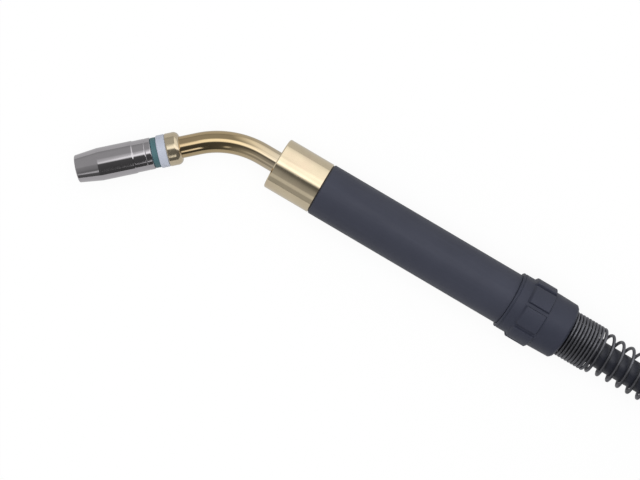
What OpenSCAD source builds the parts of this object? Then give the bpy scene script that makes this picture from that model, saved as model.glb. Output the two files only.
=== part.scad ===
// Machine MIG welding torch: straight round handle, bent swan neck, slide-on gas
// nozzle, strain-relief spring, and a coiled cable with its central connector.
// The handle's axis is X and the neck bends towards -Y. All sizes are millimetres.

/* [Handle] */
// Length of the round part of the handle that a holder can grip
handle_len = 158; // [120:1:220]
// Outer diameter of the handle tube
handle_d = 40; // [38:0.5:48]
// Wall of the handle tube
handle_wall = 3.5; // [2.5:0.1:4.5]
// Bevel on the front edge of the handle tube
handle_bevel = 0.8; // [0.3:0.1:1.5]
// Length of the thread behind the handle tube's shoulder
handle_thread_len = 22; // [16:1:26]
// Depth of the shoulder between the handle and its thread
handle_thread_step = 1.4; // [1:0.1:1.8]

/* [Neck collar] */
// Length of the polished collar in front of the handle
collar_len = 37; // [32:1:50]
// Diameter of the polished collar
collar_d = 39.6; // [34:0.2:40]
// Bevel on both edges of the collar
collar_bevel = 0.8; // [0.3:0.1:1.5]
// Length of the collar's spigot inside the handle tube
spigot_len = 16; // [12:1:24]
// Depth to which the neck sits in the collar
neck_seat = 30; // [24:1:31]
// Diameter of the collar's grub screws and of the handle's screws
screw_d = 5; // [4:0.5:6]
// Distance between the collar's two grub screws
screw_spacing = 14; // [10:1:16]

/* [Swan neck] */
// Outer diameter of the swan neck
neck_d = 16; // [15:0.5:18]
// Wall of the swan neck's outer tube
neck_wall = 1.4; // [1:0.1:1.6]
// Angle of the neck's bend
neck_angle = 42.3; // [20:0.1:60]
// Radius of the bend, to the neck's centre line
neck_bend_r = 65.5; // [50:0.5:90]
// Straight length between the collar and the bend
neck_rear_len = 12.4; // [5:0.2:30]
// Straight length between the bend and the head nut
neck_front_len = 13; // [8:0.5:40]
// Outer diameter of the current-carrying inner tube
conductor_d = 9.6; // [9:0.1:10]
// Wall of the current-carrying inner tube
conductor_wall = 1.8; // [1.2:0.1:2]
// Outer diameter of the wire liner
liner_d = 4.6; // [4:0.1:5]
// Bore of the wire liner
liner_bore_d = 2.6; // [2:0.1:3]

/* [Head] */
// Diameter of the brass head nut
head_nut_d = 24.2; // [23:0.1:28]
// Length of the brass head nut
head_nut_len = 10; // [9:0.5:14]
// Radius of the head nut's rounded back edge
head_nut_round = 2.6; // [1:0.1:3.5]
// Diameter of the insulator's visible flange
flange_d = 24; // [22:0.1:28]
// Length of the insulator's visible flange
flange_len = 6.6; // [4:0.2:10]
// Outer diameter of the seal ring behind the nozzle
seal_d = 22.3; // [21.5:0.1:24]
// Length of the seal ring behind the nozzle
seal_len = 4.4; // [3:0.2:7]
// Length of the insulator's sleeve inside the nozzle
seat_len = 14; // [10:0.5:18]
// Thickness of the spring wire that grips the nozzle
grip_wire_d = 1; // [0.8:0.1:1.2]
// Wall of the tip holder around the inner tube
holder_wall = 2.1; // [1.8:0.1:2.2]
// Outer diameter of the gas diffuser
diffuser_d = 17.6; // [17.4:0.1:18.6]
// Length of the gas diffuser
diffuser_len = 9.8; // [8:0.1:11]
// Number of gas holes in the diffuser
gas_holes = 8; // [6:1:12]
// Diameter of each gas hole
gas_hole_d = 2; // [1.4:0.1:2.2]

/* [Gas nozzle] */
// Length of the gas nozzle
nozzle_len = 56; // [54:0.5:62]
// Largest outer diameter of the nozzle
nozzle_d = 24; // [23.4:0.1:26]
// Outer diameter of the nozzle's mouth
mouth_d = 20.2; // [19:0.1:22]
// Bore of the nozzle's mouth
mouth_bore_d = 16; // [15:0.1:17]
// Length of the outer taper behind the mouth
taper_len = 16.7; // [12:0.1:22]
// Length of the inner taper behind the mouth
inner_taper_len = 20; // [14:0.5:22]
// Bore of the nozzle behind the taper
nozzle_bore_d = 20; // [19.8:0.1:20.4]
// Outer diameter of the slimmer rear stretch of the nozzle
nozzle_rear_d = 23.2; // [22.6:0.1:23.3]
// Length of the slimmer rear stretch of the nozzle
nozzle_rear_len = 13.8; // [10:0.2:18]
// Distance of the turned ring mark from the nozzle's rear edge
ring_mark_x = 4; // [2:0.2:6]

/* [Contact tip] */
// Diameter of the contact tip
tip_d = 10; // [9.6:0.1:10.2]
// Length of the tip in front of its holder
tip_len = 22; // [18:0.5:24]
// Diameter of the tip's thread
tip_thread_d = 8; // [7:0.5:8.5]
// Length of the tip's thread
tip_thread_len = 8; // [6:0.5:9]
// Bore of the tip for the welding wire
tip_bore_d = 1.2; // [0.8:0.1:1.6]
// Distance of the tip's end inside the nozzle's mouth
tip_recess = 6.5; // [6.3:0.1:8]

/* [Rear nut] */
// Length of the rear nut
nut_len = 47; // [44:1:56]
// Diameter of the rear nut's body
nut_d = 44.3; // [43:0.1:50]
// Diameter of the rear nut at its rear edge
nut_rear_d = 43.4; // [42:0.1:48]
// Diameter across the raised grip pads
pad_d = 48.4; // [47:0.1:54]
// Number of grip pads
pads = 8; // [6:1:12]
// Length of each grip pad along the nut
pad_len = 17.8; // [12:0.2:18.4]
// Distance of the pads from the nut's front edge
pad_x = 9.5; // [8:0.5:12]
// Width of the slot between neighbouring pads
pad_slot = 4.2; // [3:0.1:6]
// Length of the pads' sloping ends
pad_bevel = 1.6; // [0.8:0.1:2.4]
// Turn of the first pad away from straight up
pad_turn = 14; // [0:1:22]

/* [Strain spring] */
// Thickness of the spring wire
wire_d = 2; // [1.6:0.1:2.1]
// Outer diameter of the closed turns
spring_d = 35.5; // [33:0.5:36]
// Outer diameter of the open turns
spring_open_d = 31.6; // [30:0.2:34]
// Step from one closed turn to the next
closed_pitch = 2.6; // [2.52:0.01:3]
// Step from one open turn to the next
open_pitch = 8.45; // [6:0.05:10]
// Number of closed turns
closed_turns = 17; // [14:1:22]
// Number of open turns
open_turns = 9; // [6:1:12]
// Number of closed turns at the free end
end_turns = 1; // [1:1:2]

/* [Cable] */
// Outer diameter of the cable
cable_d = 20; // [18:0.5:20.5]
// Number of turns in the stored coil
coil_turns = 3.5; // [2.5:1:4.5]
// Radius of the coil's innermost turn
coil_in_r = 82; // [80:1:110]
// Width of the straps that hold the coil
strap_w = 14; // [8:1:14]
// Thickness of the straps
strap_t = 1.2; // [1:0.1:2]

/* [Connector] */
// Diameter of the connector's union nut over its ribs
union_d = 50; // [48:0.5:56]
// Length of the union nut
union_len = 42; // [38:1:50]
// Number of ribs on the union nut
union_ribs = 18; // [12:1:24]
// Inner diameter of the union nut's thread
union_bore_d = 41; // [40.6:0.1:43]
// Diameter of the central current pin
centre_pin_d = 12; // [11:0.5:13]
// Length of the central current pin
centre_pin_len = 34; // [30:1:38]
// Length of the rubber boot behind the connector
boot_len = 58; // [50:1:70]
// Diameter of the boot where the cable enters
boot_small_d = 26; // [25:0.5:30]
// Number of grooves around the boot
boot_grooves = 6; // [4:1:7]
// Diameter of the connector's housing
housing_d = 41; // [39:0.5:44]
// Length of the connector's housing
housing_len = 50; // [46:1:60]
// Diameter of each sprung control pin
control_pin_d = 4; // [3:0.5:4.5]
// Length of a control pin that stands out of the face
control_pin_out = 8; // [6:0.5:10]
// Travel of a control pin when it is pushed in
control_pin_travel = 2.5; // [1.5:0.5:3]

/* [Hidden] */

// Facets of a drawn circle
$fn = 72;

// Radial gap of a close fit, of a running fit, and of a loose fit
fit_gap = 0.05;
run_gap = 0.06;
loose_gap = 0.3;
// Gap between two end faces of which one moves
face_gap = 0.2;
// Length by which a cutter runs past what it cuts
past = 1;
// Small bevel on turned edges and on the starts of threads
edge = 0.4;
thread_edge = 0.5;
// Overlap and step of the join between the neck's bend and its front stretch
seam_len = 0.3;
seam_step = 0.01;

// Radii that several pieces share
handle_r = handle_d / 2;
handle_bore_r = handle_r - handle_wall;
handle_thread_r = handle_r - handle_thread_step;
collar_r = collar_d / 2;
spigot_r = handle_bore_r - fit_gap;
neck_r = neck_d / 2;
neck_bore_r = neck_r - neck_wall;
conductor_r = conductor_d / 2;
conductor_bore_r = conductor_r - conductor_wall;
liner_r = liner_d / 2;
liner_bore_r = liner_bore_d / 2;
liner_way_r = liner_r + loose_gap;
cable_r = cable_d / 2;
screw_r = screw_d / 2;

// Stations along X, counted from the middle of the handle
handle_front_x = -handle_len / 2;
handle_rear_x = handle_len / 2;
thread_end_x = handle_rear_x + handle_thread_len;
collar_front_x = handle_front_x - collar_len;
spigot_end_x = handle_front_x + spigot_len;
neck_end_x = collar_front_x + neck_seat;
bend_x = collar_front_x - neck_rear_len;
nut_front_x = handle_rear_x + face_gap;
nut_rear_x = nut_front_x + nut_len;

// Stations along the head, counted from the end of the neck's bend
nut_h = neck_front_len;
neck_end_h = nut_h + head_nut_len - 2;
flange_h = nut_h + head_nut_len;
seal_h = flange_h + flange_len;
nozzle_h = seal_h + seal_len;
seat_end_h = nozzle_h + seat_len;
mouth_h = nozzle_h + nozzle_len;
tip_end_h = mouth_h - tip_recess;
tip_seat_h = tip_end_h - tip_len;
holder_h = neck_end_h + loose_gap;
conductor_end_h = holder_h + 9;
diffuser_h = seat_end_h + face_gap;

// Radii along the head
nozzle_bore_r = nozzle_bore_d / 2;
seat_r = nozzle_bore_r - run_gap;
holder_r = conductor_r + fit_gap + holder_wall;
insulator_bore_r = holder_r + loose_gap;
insulator_spigot_r = (insulator_bore_r + head_nut_d / 2) / 2;
insulator_spigot_len = 1.6;
grip_wire_r = grip_wire_d / 2;
grip_ring_r = nozzle_bore_r - run_gap - grip_wire_r;
grip_groove_w = grip_wire_d + 0.4;
grip_groove_h = (nozzle_h + seat_end_h) / 2;
tip_thread_r = tip_thread_d / 2;
tip_socket_h = tip_seat_h - tip_thread_len - 0.3;
gas_way_h = tip_socket_h - gas_hole_d;
holder_hex_len = 5;
holder_hex_af = 13;

// Inside the handle: socket, coupling nut, terminal and the cable's end
socket_r = 12;
socket_len = 46;
socket_thread_r = 9;
socket_thread_len = 15;
socket_x = neck_end_x + loose_gap;
socket_end_x = socket_x + socket_len;
conductor_end_x = socket_x + 14;
coupling_wall = 2.6;
coupling_len = 20;
coupling_x = socket_end_x + face_gap;
terminal_flange_x = socket_end_x + socket_thread_len + face_gap;
terminal_flange_len = 3;
terminal_neck_r = 7;
terminal_barb_r = 6;
cable_inner_x = coupling_x + coupling_len + 14;
barb_len = 24;
ferrule_wall = 1.2;
ferrule_len = 26;
sleeve_x = spigot_end_x + face_gap;
sleeve_end_x = cable_inner_x + ferrule_len + 6;
sleeve_wall = 1.6;

// Spring seat behind the handle tube's thread
seat_flange_len = 4;
seat_spigot_len = 12;
seat_flange_r = handle_thread_r - 0.1;
spring_x = thread_end_x + seat_flange_len + fit_gap;

// Rear nut
nut_thread_gap = 0.08;
nut_chamfer = 1.6;
nut_rim_w = 1.4;
nut_line_w = 0.8;
nut_line_depth = 0.5;
nut_neck_r = spring_d / 2 + loose_gap;
pad_base_r = nut_d / 2 - 0.15;

// Spring
spring_rings = 8;
spring_sides = 6;
spring_r = (spring_d - wire_d) / 2;
spring_open_r = (spring_open_d - wire_d) / 2;
spring_ease = 2;
spring_phase = -90;
spring_turns = closed_turns + open_turns + end_turns;
spring_flat_r = spring_r * cos(180 / spring_rings) - wire_d / 2;

// Floor on which the torch lies, and the heights of the cable's coil on it
floor_z = -pad_d / 2;
strap_gap = 0.6;
coil_z = floor_z + strap_t + strap_gap + cable_r;
coil_gap = 0.6;
coil_pitch = cable_d + coil_gap;
coil_climb = 0.5;
coil_rings = 24;
coil_sides = 6;
coil_turn_back = coil_turns / 2;
strap_turns = [0.1, 0.4];

// Route of the cable from the rear nut to the coil, counted from the nut's rear edge
lead_sides = 10;
lead_inside = 26;
lead_route = [
    [-lead_inside, 0, 0], [-4, 0, 0], [30, -1.3, 0], [75, -1.3, -0.1], [108, -1.2, -1.2],
    [140, -0.8, -4.8], [172, -0.3, -9.6], [200, 0, coil_z], [218, 0, coil_z]
];
cable_exit = [nut_rear_x, 0, 0];
lead_path = [for (p = lead_route) cable_exit + p];
coil_start = lead_path[len(lead_path) - 1];
coil_out_r = coil_in_r + coil_pitch * coil_turn_back;
coil_centre = coil_start + [cable_d, -coil_out_r, 0];

// Route of the cable's far end, counted from the coil's end, along the way it leaves
// and across it, where a negative step leads back towards the handle
union_r = union_d / 2;
plug_z = floor_z + union_r;
coil_top_z = coil_z + coil_pitch;
tail_drop = plug_z - coil_top_z;
tail_step = -14;
boot_x = 115;
tail_route = [
    [0, 0, 0], [5, 0, 0], [30, 0.16 * tail_step, 0.16 * tail_drop],
    [55, 0.5 * tail_step, 0.5 * tail_drop], [80, 0.84 * tail_step, 0.84 * tail_drop],
    [105, tail_step, tail_drop], [boot_x, tail_step, tail_drop], [boot_x + boot_len, tail_step, tail_drop]
];
tail_heading = 360 * coil_turns;

// Connector, counted from where the cable enters the boot
boot_bore_r = cable_r + 0.1;
boot_big_r = 17;
boot_groove_w = 2.4;
boot_groove_depth = 1.6;
boot_plug_len = 8;
housing_k = boot_len - boot_plug_len;
housing_r = housing_d / 2;
housing_neck_r = housing_r - 3;
housing_neck_len = 7;
housing_wall = 2.5;
housing_bore_r = housing_neck_r - housing_wall;
housing_end_k = housing_k + housing_len;
control_head_len = 2;
pin_bore_len = control_head_len + control_pin_travel + 2 * face_gap;
block_floor = 1.1;
block_flange_len = pin_bore_len + block_floor;
block_flange_r = union_bore_d / 2 - 1;
block_body_r = housing_bore_r - fit_gap;
block_k = boot_len;
block_flange_k = housing_end_k + fit_gap;
face_k = block_flange_k + block_flange_len;
face_len = 4;
face_front_k = face_k + face_len;
union_k = housing_end_k - housing_neck_len + face_gap;
union_lip_len = housing_neck_len - 2 * face_gap;
lip_gap = 0.1;
pin_tip_k = face_k + centre_pin_len;
centre_pin_r = centre_pin_d / 2;
pin_circle_r = 13;
control_pin_r = control_pin_d / 2;
control_pin_spread = 28;
control_pin_head_r = control_pin_r + 0.7;
nipple_r = 3;
nipple_out = 14;
nipple_seal_back = 3;
nipple_bore_r = 1.5;
gas_way_r = 1;
gas_seal_wire_r = 0.8;
liner_nut_len = 7;
liner_nut_af = 10;
housing_screw_k = housing_k + housing_len / 2;
housing_screw_in = 3;
housing_flat = 1.2;

// ---- helpers ----

// Turned piece: the profile holds [radius, length] points
module turned(profile, turn = 360) {
    rotate_extrude(angle = turn) polygon(profile);
}

// Frame on the handle's axis: its Z runs along +X from station x, its X points down
module on_axis(x) {
    translate([x, 0, 0]) rotate([0, 90, 0]) children();
}

// Frame on the head's axis: its Z runs towards the nozzle's mouth from station h
module on_head(h) {
    translate([bend_x, -neck_bend_r, 0])
        rotate([0, 0, 90 + neck_angle])
            translate([neck_bend_r, 0, 0])
                rotate([-90, 0, 0])
                    translate([0, 0, h]) children();
}

// Frame on the connector's axis: its Z runs towards the mouth from station k
module on_plug(k) {
    translate([coil_centre[0], coil_centre[1], plug_z])
        rotate([0, 0, -tail_heading])
            translate([cable_d + boot_x, coil_out_r + tail_step, 0])
                rotate([0, 90, 0])
                    translate([0, 0, k]) children();
}

// Frame whose Z runs outwards along the frame's X, at length z, turned about Z
module radial(z, turn = 0) {
    rotate([0, 0, turn]) translate([0, 0, z]) rotate([0, 90, 0]) children();
}

// Straight, bent and straight run along the neck's centre line
module neck_run(outer, inner, rear_x, front_h) {
    on_axis(bend_x)
        linear_extrude(rear_x - bend_x) ring_face(outer, inner);
    translate([bend_x, -neck_bend_r, 0])
        rotate([0, 0, 90])
            rotate_extrude(angle = neck_angle)
                translate([neck_bend_r, 0]) ring_face(outer, inner);
    // A hair thicker than the bend, so that the two join through a clean step
    on_head(-seam_len)
        linear_extrude(front_h + seam_len) ring_face(outer + seam_step, inner - seam_step);
}

module ring_face(outer, inner) {
    difference() {
        circle(outer);
        circle(inner);
    }
}

// Hexagonal bar measured across its flats
module hex_bar(flats, length) {
    cylinder(d = flats / cos(30), h = length, $fn = 6);
}

function unit(v) = v / norm(v);
function ease(t) = let (c = min(1, max(0, t))) c * c * (3 - 2 * c);
function heading(path, i) =
    unit(path[min(i + 1, len(path) - 1)] - path[max(i - 1, 0)]);

// Corners of one ring of a tube: the first one points along the outward direction
function tube_ring(centre, along, outward, radius, sides) =
    let (side = unit(cross(along, outward)), up = cross(side, along))
    [for (k = [0:sides - 1])
        centre + radius * (cos(360 * k / sides) * up + sin(360 * k / sides) * side)];

// Closed tube of triangles along a path, with one outward direction for each point
module swept_tube(path, outwards, radius, sides) {
    rings = len(path);
    points = [for (i = [0:rings - 1])
        each tube_ring(path[i], heading(path, i), outwards[i], radius, sides)];
    walls = [for (i = [0:rings - 2], k = [0:sides - 1])
        let (a = i * sides + k, b = i * sides + (k + 1) % sides)
        each [[a, b, b + sides], [a, b + sides, a + sides]]];
    last = (rings - 1) * sides;
    caps = [for (k = [1:sides - 2])
        each [[0, k + 1, k], [last, last + k, last + k + 1]]];
    polyhedron(points, concat(walls, caps));
}

// Least distance between points of a path that lie at least skip points apart
function least_step(path, skip) =
    min([for (i = [0:len(path) - 1 - skip])
        min([for (j = [i + skip:len(path) - 1]) norm(path[i] - path[j])])]);

// ---- head ----

module gas_nozzle() {
    step_len = 0.6;
    mark_w = 0.6;
    mark_depth = 0.3;
    rear_r = nozzle_rear_d / 2;
    color("silver") on_head(nozzle_h) turned([
        [nozzle_bore_r, 0],
        [rear_r - mark_depth, 0],
        [rear_r, mark_depth],
        [rear_r, ring_mark_x],
        [rear_r - mark_depth, ring_mark_x + mark_w / 2],
        [rear_r, ring_mark_x + mark_w],
        [rear_r, nozzle_rear_len - step_len],
        [nozzle_d / 2, nozzle_rear_len],
        [nozzle_d / 2, nozzle_len - taper_len],
        [mouth_d / 2, nozzle_len - edge],
        [mouth_d / 2 - edge, nozzle_len],
        [mouth_bore_d / 2, nozzle_len],
        [nozzle_bore_r, nozzle_len - inner_taper_len]
    ]);
}

module contact_tip() {
    nose_len = 3;
    nose_r = tip_d / 2 - 1.6;
    flats_len = 6;
    flats_af = tip_d - 1.6;
    color("darkgoldenrod") on_head(tip_seat_h) difference() {
        turned([
            [tip_bore_d / 2, -tip_thread_len],
            [tip_thread_r - thread_edge, -tip_thread_len],
            [tip_thread_r, thread_edge - tip_thread_len],
            [tip_thread_r, 0],
            [tip_d / 2, 0],
            [tip_d / 2, tip_len - nose_len],
            [nose_r, tip_len],
            [tip_bore_d / 2, tip_len]
        ]);
        for (side = [0, 1])
            rotate([0, 0, 180 * side])
                translate([flats_af / 2, -tip_d / 2, tip_len - nose_len - flats_len])
                    cube([tip_d, tip_d, flats_len]);
    }
}

module gas_diffuser() {
    collar = 2;
    wall = 0.9;
    chamber_r = diffuser_d / 2 - wall;
    color("white") on_head(diffuser_h) difference() {
        turned([
            [holder_r + fit_gap, 0],
            [diffuser_d / 2, 0],
            [diffuser_d / 2, diffuser_len],
            [chamber_r, diffuser_len],
            [chamber_r, collar],
            [holder_r + fit_gap, collar]
        ]);
        for (i = [0:gas_holes - 1])
            radial(diffuser_len - 1.5 * gas_hole_d, 360 * i / gas_holes)
                cylinder(r = gas_hole_d / 2, h = diffuser_d);
    }
}

module tip_holder() {
    gas_ways = 6;
    gas_way_r = 1;
    // One bore takes the tip's thread and lets the gas flow round the liner
    bore_r = tip_thread_r + fit_gap;
    color("peru") on_head(0) difference() {
        union() {
            translate([0, 0, holder_h])
                cylinder(r = holder_r, h = tip_seat_h - holder_hex_len - holder_h);
            translate([0, 0, tip_seat_h - holder_hex_len])
                intersection() {
                    hex_bar(holder_hex_af, holder_hex_len);
                    cylinder(r = holder_r, h = holder_hex_len);
                }
        }
        translate([0, 0, holder_h - past])
            cylinder(r = conductor_r + fit_gap, h = conductor_end_h - holder_h + past);
        translate([0, 0, holder_h])
            cylinder(r = bore_r, h = tip_seat_h - holder_h + past);
        for (i = [0:gas_ways - 1])
            radial(gas_way_h, 360 * i / gas_ways) cylinder(r = gas_way_r, h = holder_r + past);
    }
}

module nozzle_grip_spring() {
    split = 40;
    color("lightgray") on_head(grip_groove_h)
        rotate_extrude(angle = 360 - split) translate([grip_ring_r, 0]) circle(grip_wire_r);
}

module nozzle_seal_ring() {
    bore = seat_r + fit_gap;
    color("teal") on_head(seal_h) turned([
        [bore, 0],
        [seal_d / 2 - edge, 0],
        [seal_d / 2, edge],
        [seal_d / 2, seal_len - face_gap - edge],
        [seal_d / 2 - edge, seal_len - face_gap],
        [bore, seal_len - face_gap]
    ]);
}

module nozzle_insulator() {
    edge = 0.6;
    groove_r = grip_ring_r - grip_wire_r - fit_gap;
    groove_from = grip_groove_h - grip_groove_w / 2 - flange_h;
    sleeve_end = seat_end_h - flange_h;
    color("lavender") on_head(flange_h) turned([
        [insulator_bore_r, -insulator_spigot_len],
        [insulator_spigot_r, -insulator_spigot_len],
        [insulator_spigot_r, 0],
        [flange_d / 2 - edge, 0],
        [flange_d / 2, edge],
        [flange_d / 2, flange_len - edge],
        [flange_d / 2 - edge, flange_len],
        [seat_r, flange_len],
        [seat_r, groove_from],
        [groove_r, groove_from],
        [groove_r, groove_from + grip_groove_w],
        [seat_r, groove_from + grip_groove_w],
        [seat_r, sleeve_end - edge],
        [seat_r - edge, sleeve_end],
        [insulator_bore_r, sleeve_end]
    ]);
}

module head_nut() {
    edge = 0.5;
    outer_r = head_nut_d / 2;
    spigot_bore = insulator_spigot_r + fit_gap;
    color("goldenrod") on_head(nut_h) turned(concat(
        [[neck_r + fit_gap, 0]],
        [for (a = [0:15:90])
            [outer_r - head_nut_round * (1 - sin(a)), head_nut_round * (1 - cos(a))]],
        [
            [outer_r, head_nut_len - edge],
            [outer_r - edge, head_nut_len],
            [spigot_bore, head_nut_len],
            [spigot_bore, head_nut_len - insulator_spigot_len - fit_gap],
            [neck_r + fit_gap, head_nut_len - insulator_spigot_len - fit_gap]
        ]
    ));
}

// ---- neck ----

module swan_neck() {
    color("goldenrod") neck_run(neck_r, neck_bore_r, neck_end_x, neck_end_h);
}

module neck_insulation() {
    color("dimgray")
        neck_run(neck_bore_r - fit_gap, conductor_r + fit_gap, neck_end_x, neck_end_h);
}

module neck_conductor() {
    color("peru")
        neck_run(conductor_r, conductor_bore_r, conductor_end_x, conductor_end_h);
}

module wire_liner() {
    color("slategray")
        neck_run(liner_r, liner_bore_r, cable_inner_x + barb_len, tip_socket_h - loose_gap);
}

module collar_screw_places() {
    for (side = [-1, 1])
        radial(neck_seat / 2 + side * screw_spacing / 2) children();
}

module neck_collar() {
    socket_bore_r = socket_r + fit_gap;
    color("goldenrod") on_axis(collar_front_x) difference() {
        turned([
            [neck_r + fit_gap, 0],
            [collar_r - collar_bevel, 0],
            [collar_r, collar_bevel],
            [collar_r, collar_len - collar_bevel],
            [collar_r - collar_bevel, collar_len],
            [spigot_r, collar_len],
            [spigot_r, collar_len + spigot_len],
            [socket_bore_r, collar_len + spigot_len],
            [socket_bore_r, neck_seat],
            [neck_r + fit_gap, neck_seat]
        ]);
        collar_screw_places() cylinder(r = screw_r + fit_gap, h = collar_r + past);
        handle_screw_places(-collar_front_x) cylinder(r = screw_r + fit_gap, h = spigot_r + past);
    }
}

module collar_grub_screws() {
    recess = 1;
    key_depth = 2.5;
    length = collar_r - recess - neck_r - fit_gap;
    color("dimgray") on_axis(collar_front_x) collar_screw_places()
        translate([0, 0, neck_r + fit_gap]) difference() {
            cylinder(r = screw_r, h = length);
            translate([0, 0, length - key_depth]) hex_bar(screw_r, key_depth + past);
        }
}

// ---- handle ----

// Two screws on the underside and one quarter turn apart hold the tube on the spigot
module handle_screw_places(shift) {
    for (turn = [-45, 45])
        radial((handle_front_x + spigot_end_x) / 2 + shift, turn) children();
}

module handle_tube() {
    sink = 1.6;
    color("darkslategray") difference() {
        on_axis(0) turned([
            [handle_bore_r, handle_front_x],
            [handle_r - handle_bevel, handle_front_x],
            [handle_r, handle_front_x + handle_bevel],
            [handle_r, handle_rear_x],
            [handle_thread_r, handle_rear_x],
            [handle_thread_r, thread_end_x - thread_edge],
            [handle_thread_r - thread_edge, thread_end_x],
            [handle_bore_r, thread_end_x]
        ]);
        on_axis(0) handle_screw_places(0) union() {
            cylinder(r = screw_r + fit_gap, h = handle_r + past);
            translate([0, 0, handle_r - sink - fit_gap])
                cylinder(r = 1.6 * screw_r + fit_gap, h = sink + past);
        }
    }
}

module handle_screws() {
    sink = 1.6;
    head_below = 0.4;
    slot_w = 0.8;
    inner = socket_r + 1;
    color("dimgray") on_axis(0) handle_screw_places(0) difference() {
        union() {
            translate([0, 0, inner]) cylinder(r = screw_r, h = handle_r - sink - inner);
            translate([0, 0, handle_r - sink]) cylinder(r = 1.6 * screw_r, h = sink - head_below);
        }
        translate([-slot_w / 2, -handle_r, handle_r - 2 * head_below - slot_w])
            cube([slot_w, 2 * handle_r, handle_r]);
    }
}

module neck_socket() {
    color("peru") on_axis(socket_x) difference() {
        turned([
            [liner_way_r, 0],
            [socket_r, 0],
            [socket_r, socket_len],
            [socket_thread_r, socket_len],
            [socket_thread_r, socket_len + socket_thread_len],
            [liner_way_r, socket_len + socket_thread_len]
        ]);
        translate([0, 0, -past])
            cylinder(r = conductor_r + fit_gap, h = conductor_end_x - socket_x + past);
    }
}

module inner_sleeve() {
    color("ivory") on_axis(sleeve_x) difference() {
        cylinder(r = handle_bore_r - fit_gap, h = sleeve_end_x - sleeve_x);
        translate([0, 0, -past])
            cylinder(r = handle_bore_r - sleeve_wall, h = sleeve_end_x - sleeve_x + 2 * past);
    }
}

module coupling_nut() {
    nut_af = 2 * (socket_thread_r + coupling_wall);
    lip = coupling_len - socket_thread_len;
    color("goldenrod") on_axis(coupling_x) difference() {
        hex_bar(nut_af, coupling_len);
        translate([0, 0, -past])
            cylinder(r = socket_thread_r + fit_gap, h = coupling_len - lip + terminal_flange_len + past);
        cylinder(r = terminal_neck_r + fit_gap, h = coupling_len + past);
    }
}

module cable_terminal() {
    neck_len = cable_inner_x - terminal_flange_x;
    color("peru") on_axis(terminal_flange_x) turned([
        [liner_way_r, 0],
        [socket_thread_r - fit_gap, 0],
        [socket_thread_r - fit_gap, terminal_flange_len - fit_gap],
        [terminal_neck_r, terminal_flange_len - fit_gap],
        [terminal_neck_r, neck_len],
        [terminal_barb_r, neck_len],
        [terminal_barb_r, neck_len + barb_len],
        [liner_way_r, neck_len + barb_len]
    ]);
}

module crimp_ferrule() {
    rim_len = 5;
    dent = 0.4;
    bore = cable_r + fit_gap;
    outer = bore + ferrule_wall;
    color("silver") on_axis(cable_inner_x) turned([
        [bore, 0],
        [outer, 0],
        [outer, rim_len],
        [outer - dent, rim_len + 2 * dent],
        [outer - dent, ferrule_len - rim_len - 2 * dent],
        [outer, ferrule_len - rim_len],
        [outer, ferrule_len],
        [bore, ferrule_len]
    ]);
}

module cable_inner_end() {
    color("black") on_axis(cable_inner_x) difference() {
        cylinder(r = cable_r, h = nut_rear_x - lead_inside - cable_inner_x);
        translate([0, 0, -past]) cylinder(r = terminal_barb_r + fit_gap, h = barb_len + fit_gap + past);
    }
}

module spring_seat() {
    color("ivory") on_axis(thread_end_x) turned([
        [cable_r + fit_gap, 0],
        [seat_flange_r, 0],
        [seat_flange_r, seat_flange_len],
        [spring_flat_r - loose_gap, seat_flange_len],
        [spring_flat_r - loose_gap, seat_flange_len + seat_spigot_len],
        [cable_r + fit_gap, seat_flange_len + seat_spigot_len]
    ]);
}

// ---- rear nut ----

module rear_nut() {
    body_r = nut_d / 2;
    thread_bore = handle_thread_r + nut_thread_gap;
    shoulder = thread_end_x + seat_flange_len + face_gap - nut_front_x;
    color("darkslategray") on_axis(nut_front_x) union() {
        turned([
            [thread_bore, 0],
            [body_r - edge, 0],
            [body_r, edge],
            [body_r, nut_rim_w],
            [body_r - nut_line_depth, nut_rim_w],
            [body_r - nut_line_depth, nut_rim_w + nut_line_w],
            [body_r, nut_rim_w + nut_line_w],
            [body_r, pad_x + pad_len],
            [nut_rear_d / 2, nut_len - nut_chamfer],
            [nut_rear_d / 2 - nut_chamfer, nut_len],
            [nut_neck_r, nut_len],
            [nut_neck_r, shoulder],
            [thread_bore, shoulder]
        ]);
        grip_pads();
    }
}

// Raised band with sloping ends, cut into pads by straight slots
module grip_pads() {
    root_depth = 1;
    root_r = nut_d / 2 - root_depth;
    difference() {
        turned([
            [root_r, pad_x],
            [pad_base_r, pad_x],
            [pad_d / 2, pad_x + pad_bevel],
            [pad_d / 2, pad_x + pad_len - pad_bevel / 2],
            [pad_base_r, pad_x + pad_len],
            [root_r, pad_x + pad_len]
        ]);
        for (i = [0:pads - 1])
            rotate([0, 0, 180 + pad_turn + 360 * (i + 0.5) / pads])
                translate([pad_base_r, -pad_slot / 2, pad_x - past])
                    cube([pad_d, pad_slot, pad_len + 2 * past]);
    }
}

// ---- strain-relief spring ----

// Length gained by a pitch that grows from turn u0 over one turn
function grown(u, u0) = u < u0 ? 0 : u < u0 + 1 ? pow(u - u0, 2) / 2 : u - u0 - 0.5;
function spring_along(u) =
    closed_pitch * u
    + (open_pitch - closed_pitch) * (grown(u, closed_turns) - grown(u, closed_turns + open_turns));
function spring_radius(u) =
    spring_r + (spring_open_r - spring_r) * ease((u - closed_turns) / spring_ease);
function spring_point(u) =
    let (r = spring_radius(u), a = 360 * u + spring_phase)
    [spring_x + wire_d / 2 + spring_along(u), r * cos(a), r * sin(a)];

spring_path = [for (i = [0:spring_rings * spring_turns]) spring_point(i / spring_rings)];
spring_gap = least_step(spring_path, spring_rings) - wire_d;
echo(least_gap_between_spring_turns = spring_gap);

module strain_spring() {
    outwards = [for (p = spring_path) [0, p[1], p[2]]];
    color("dimgray") swept_tube(spring_path, outwards, wire_d / 2, spring_sides);
}

// ---- cable ----

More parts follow.
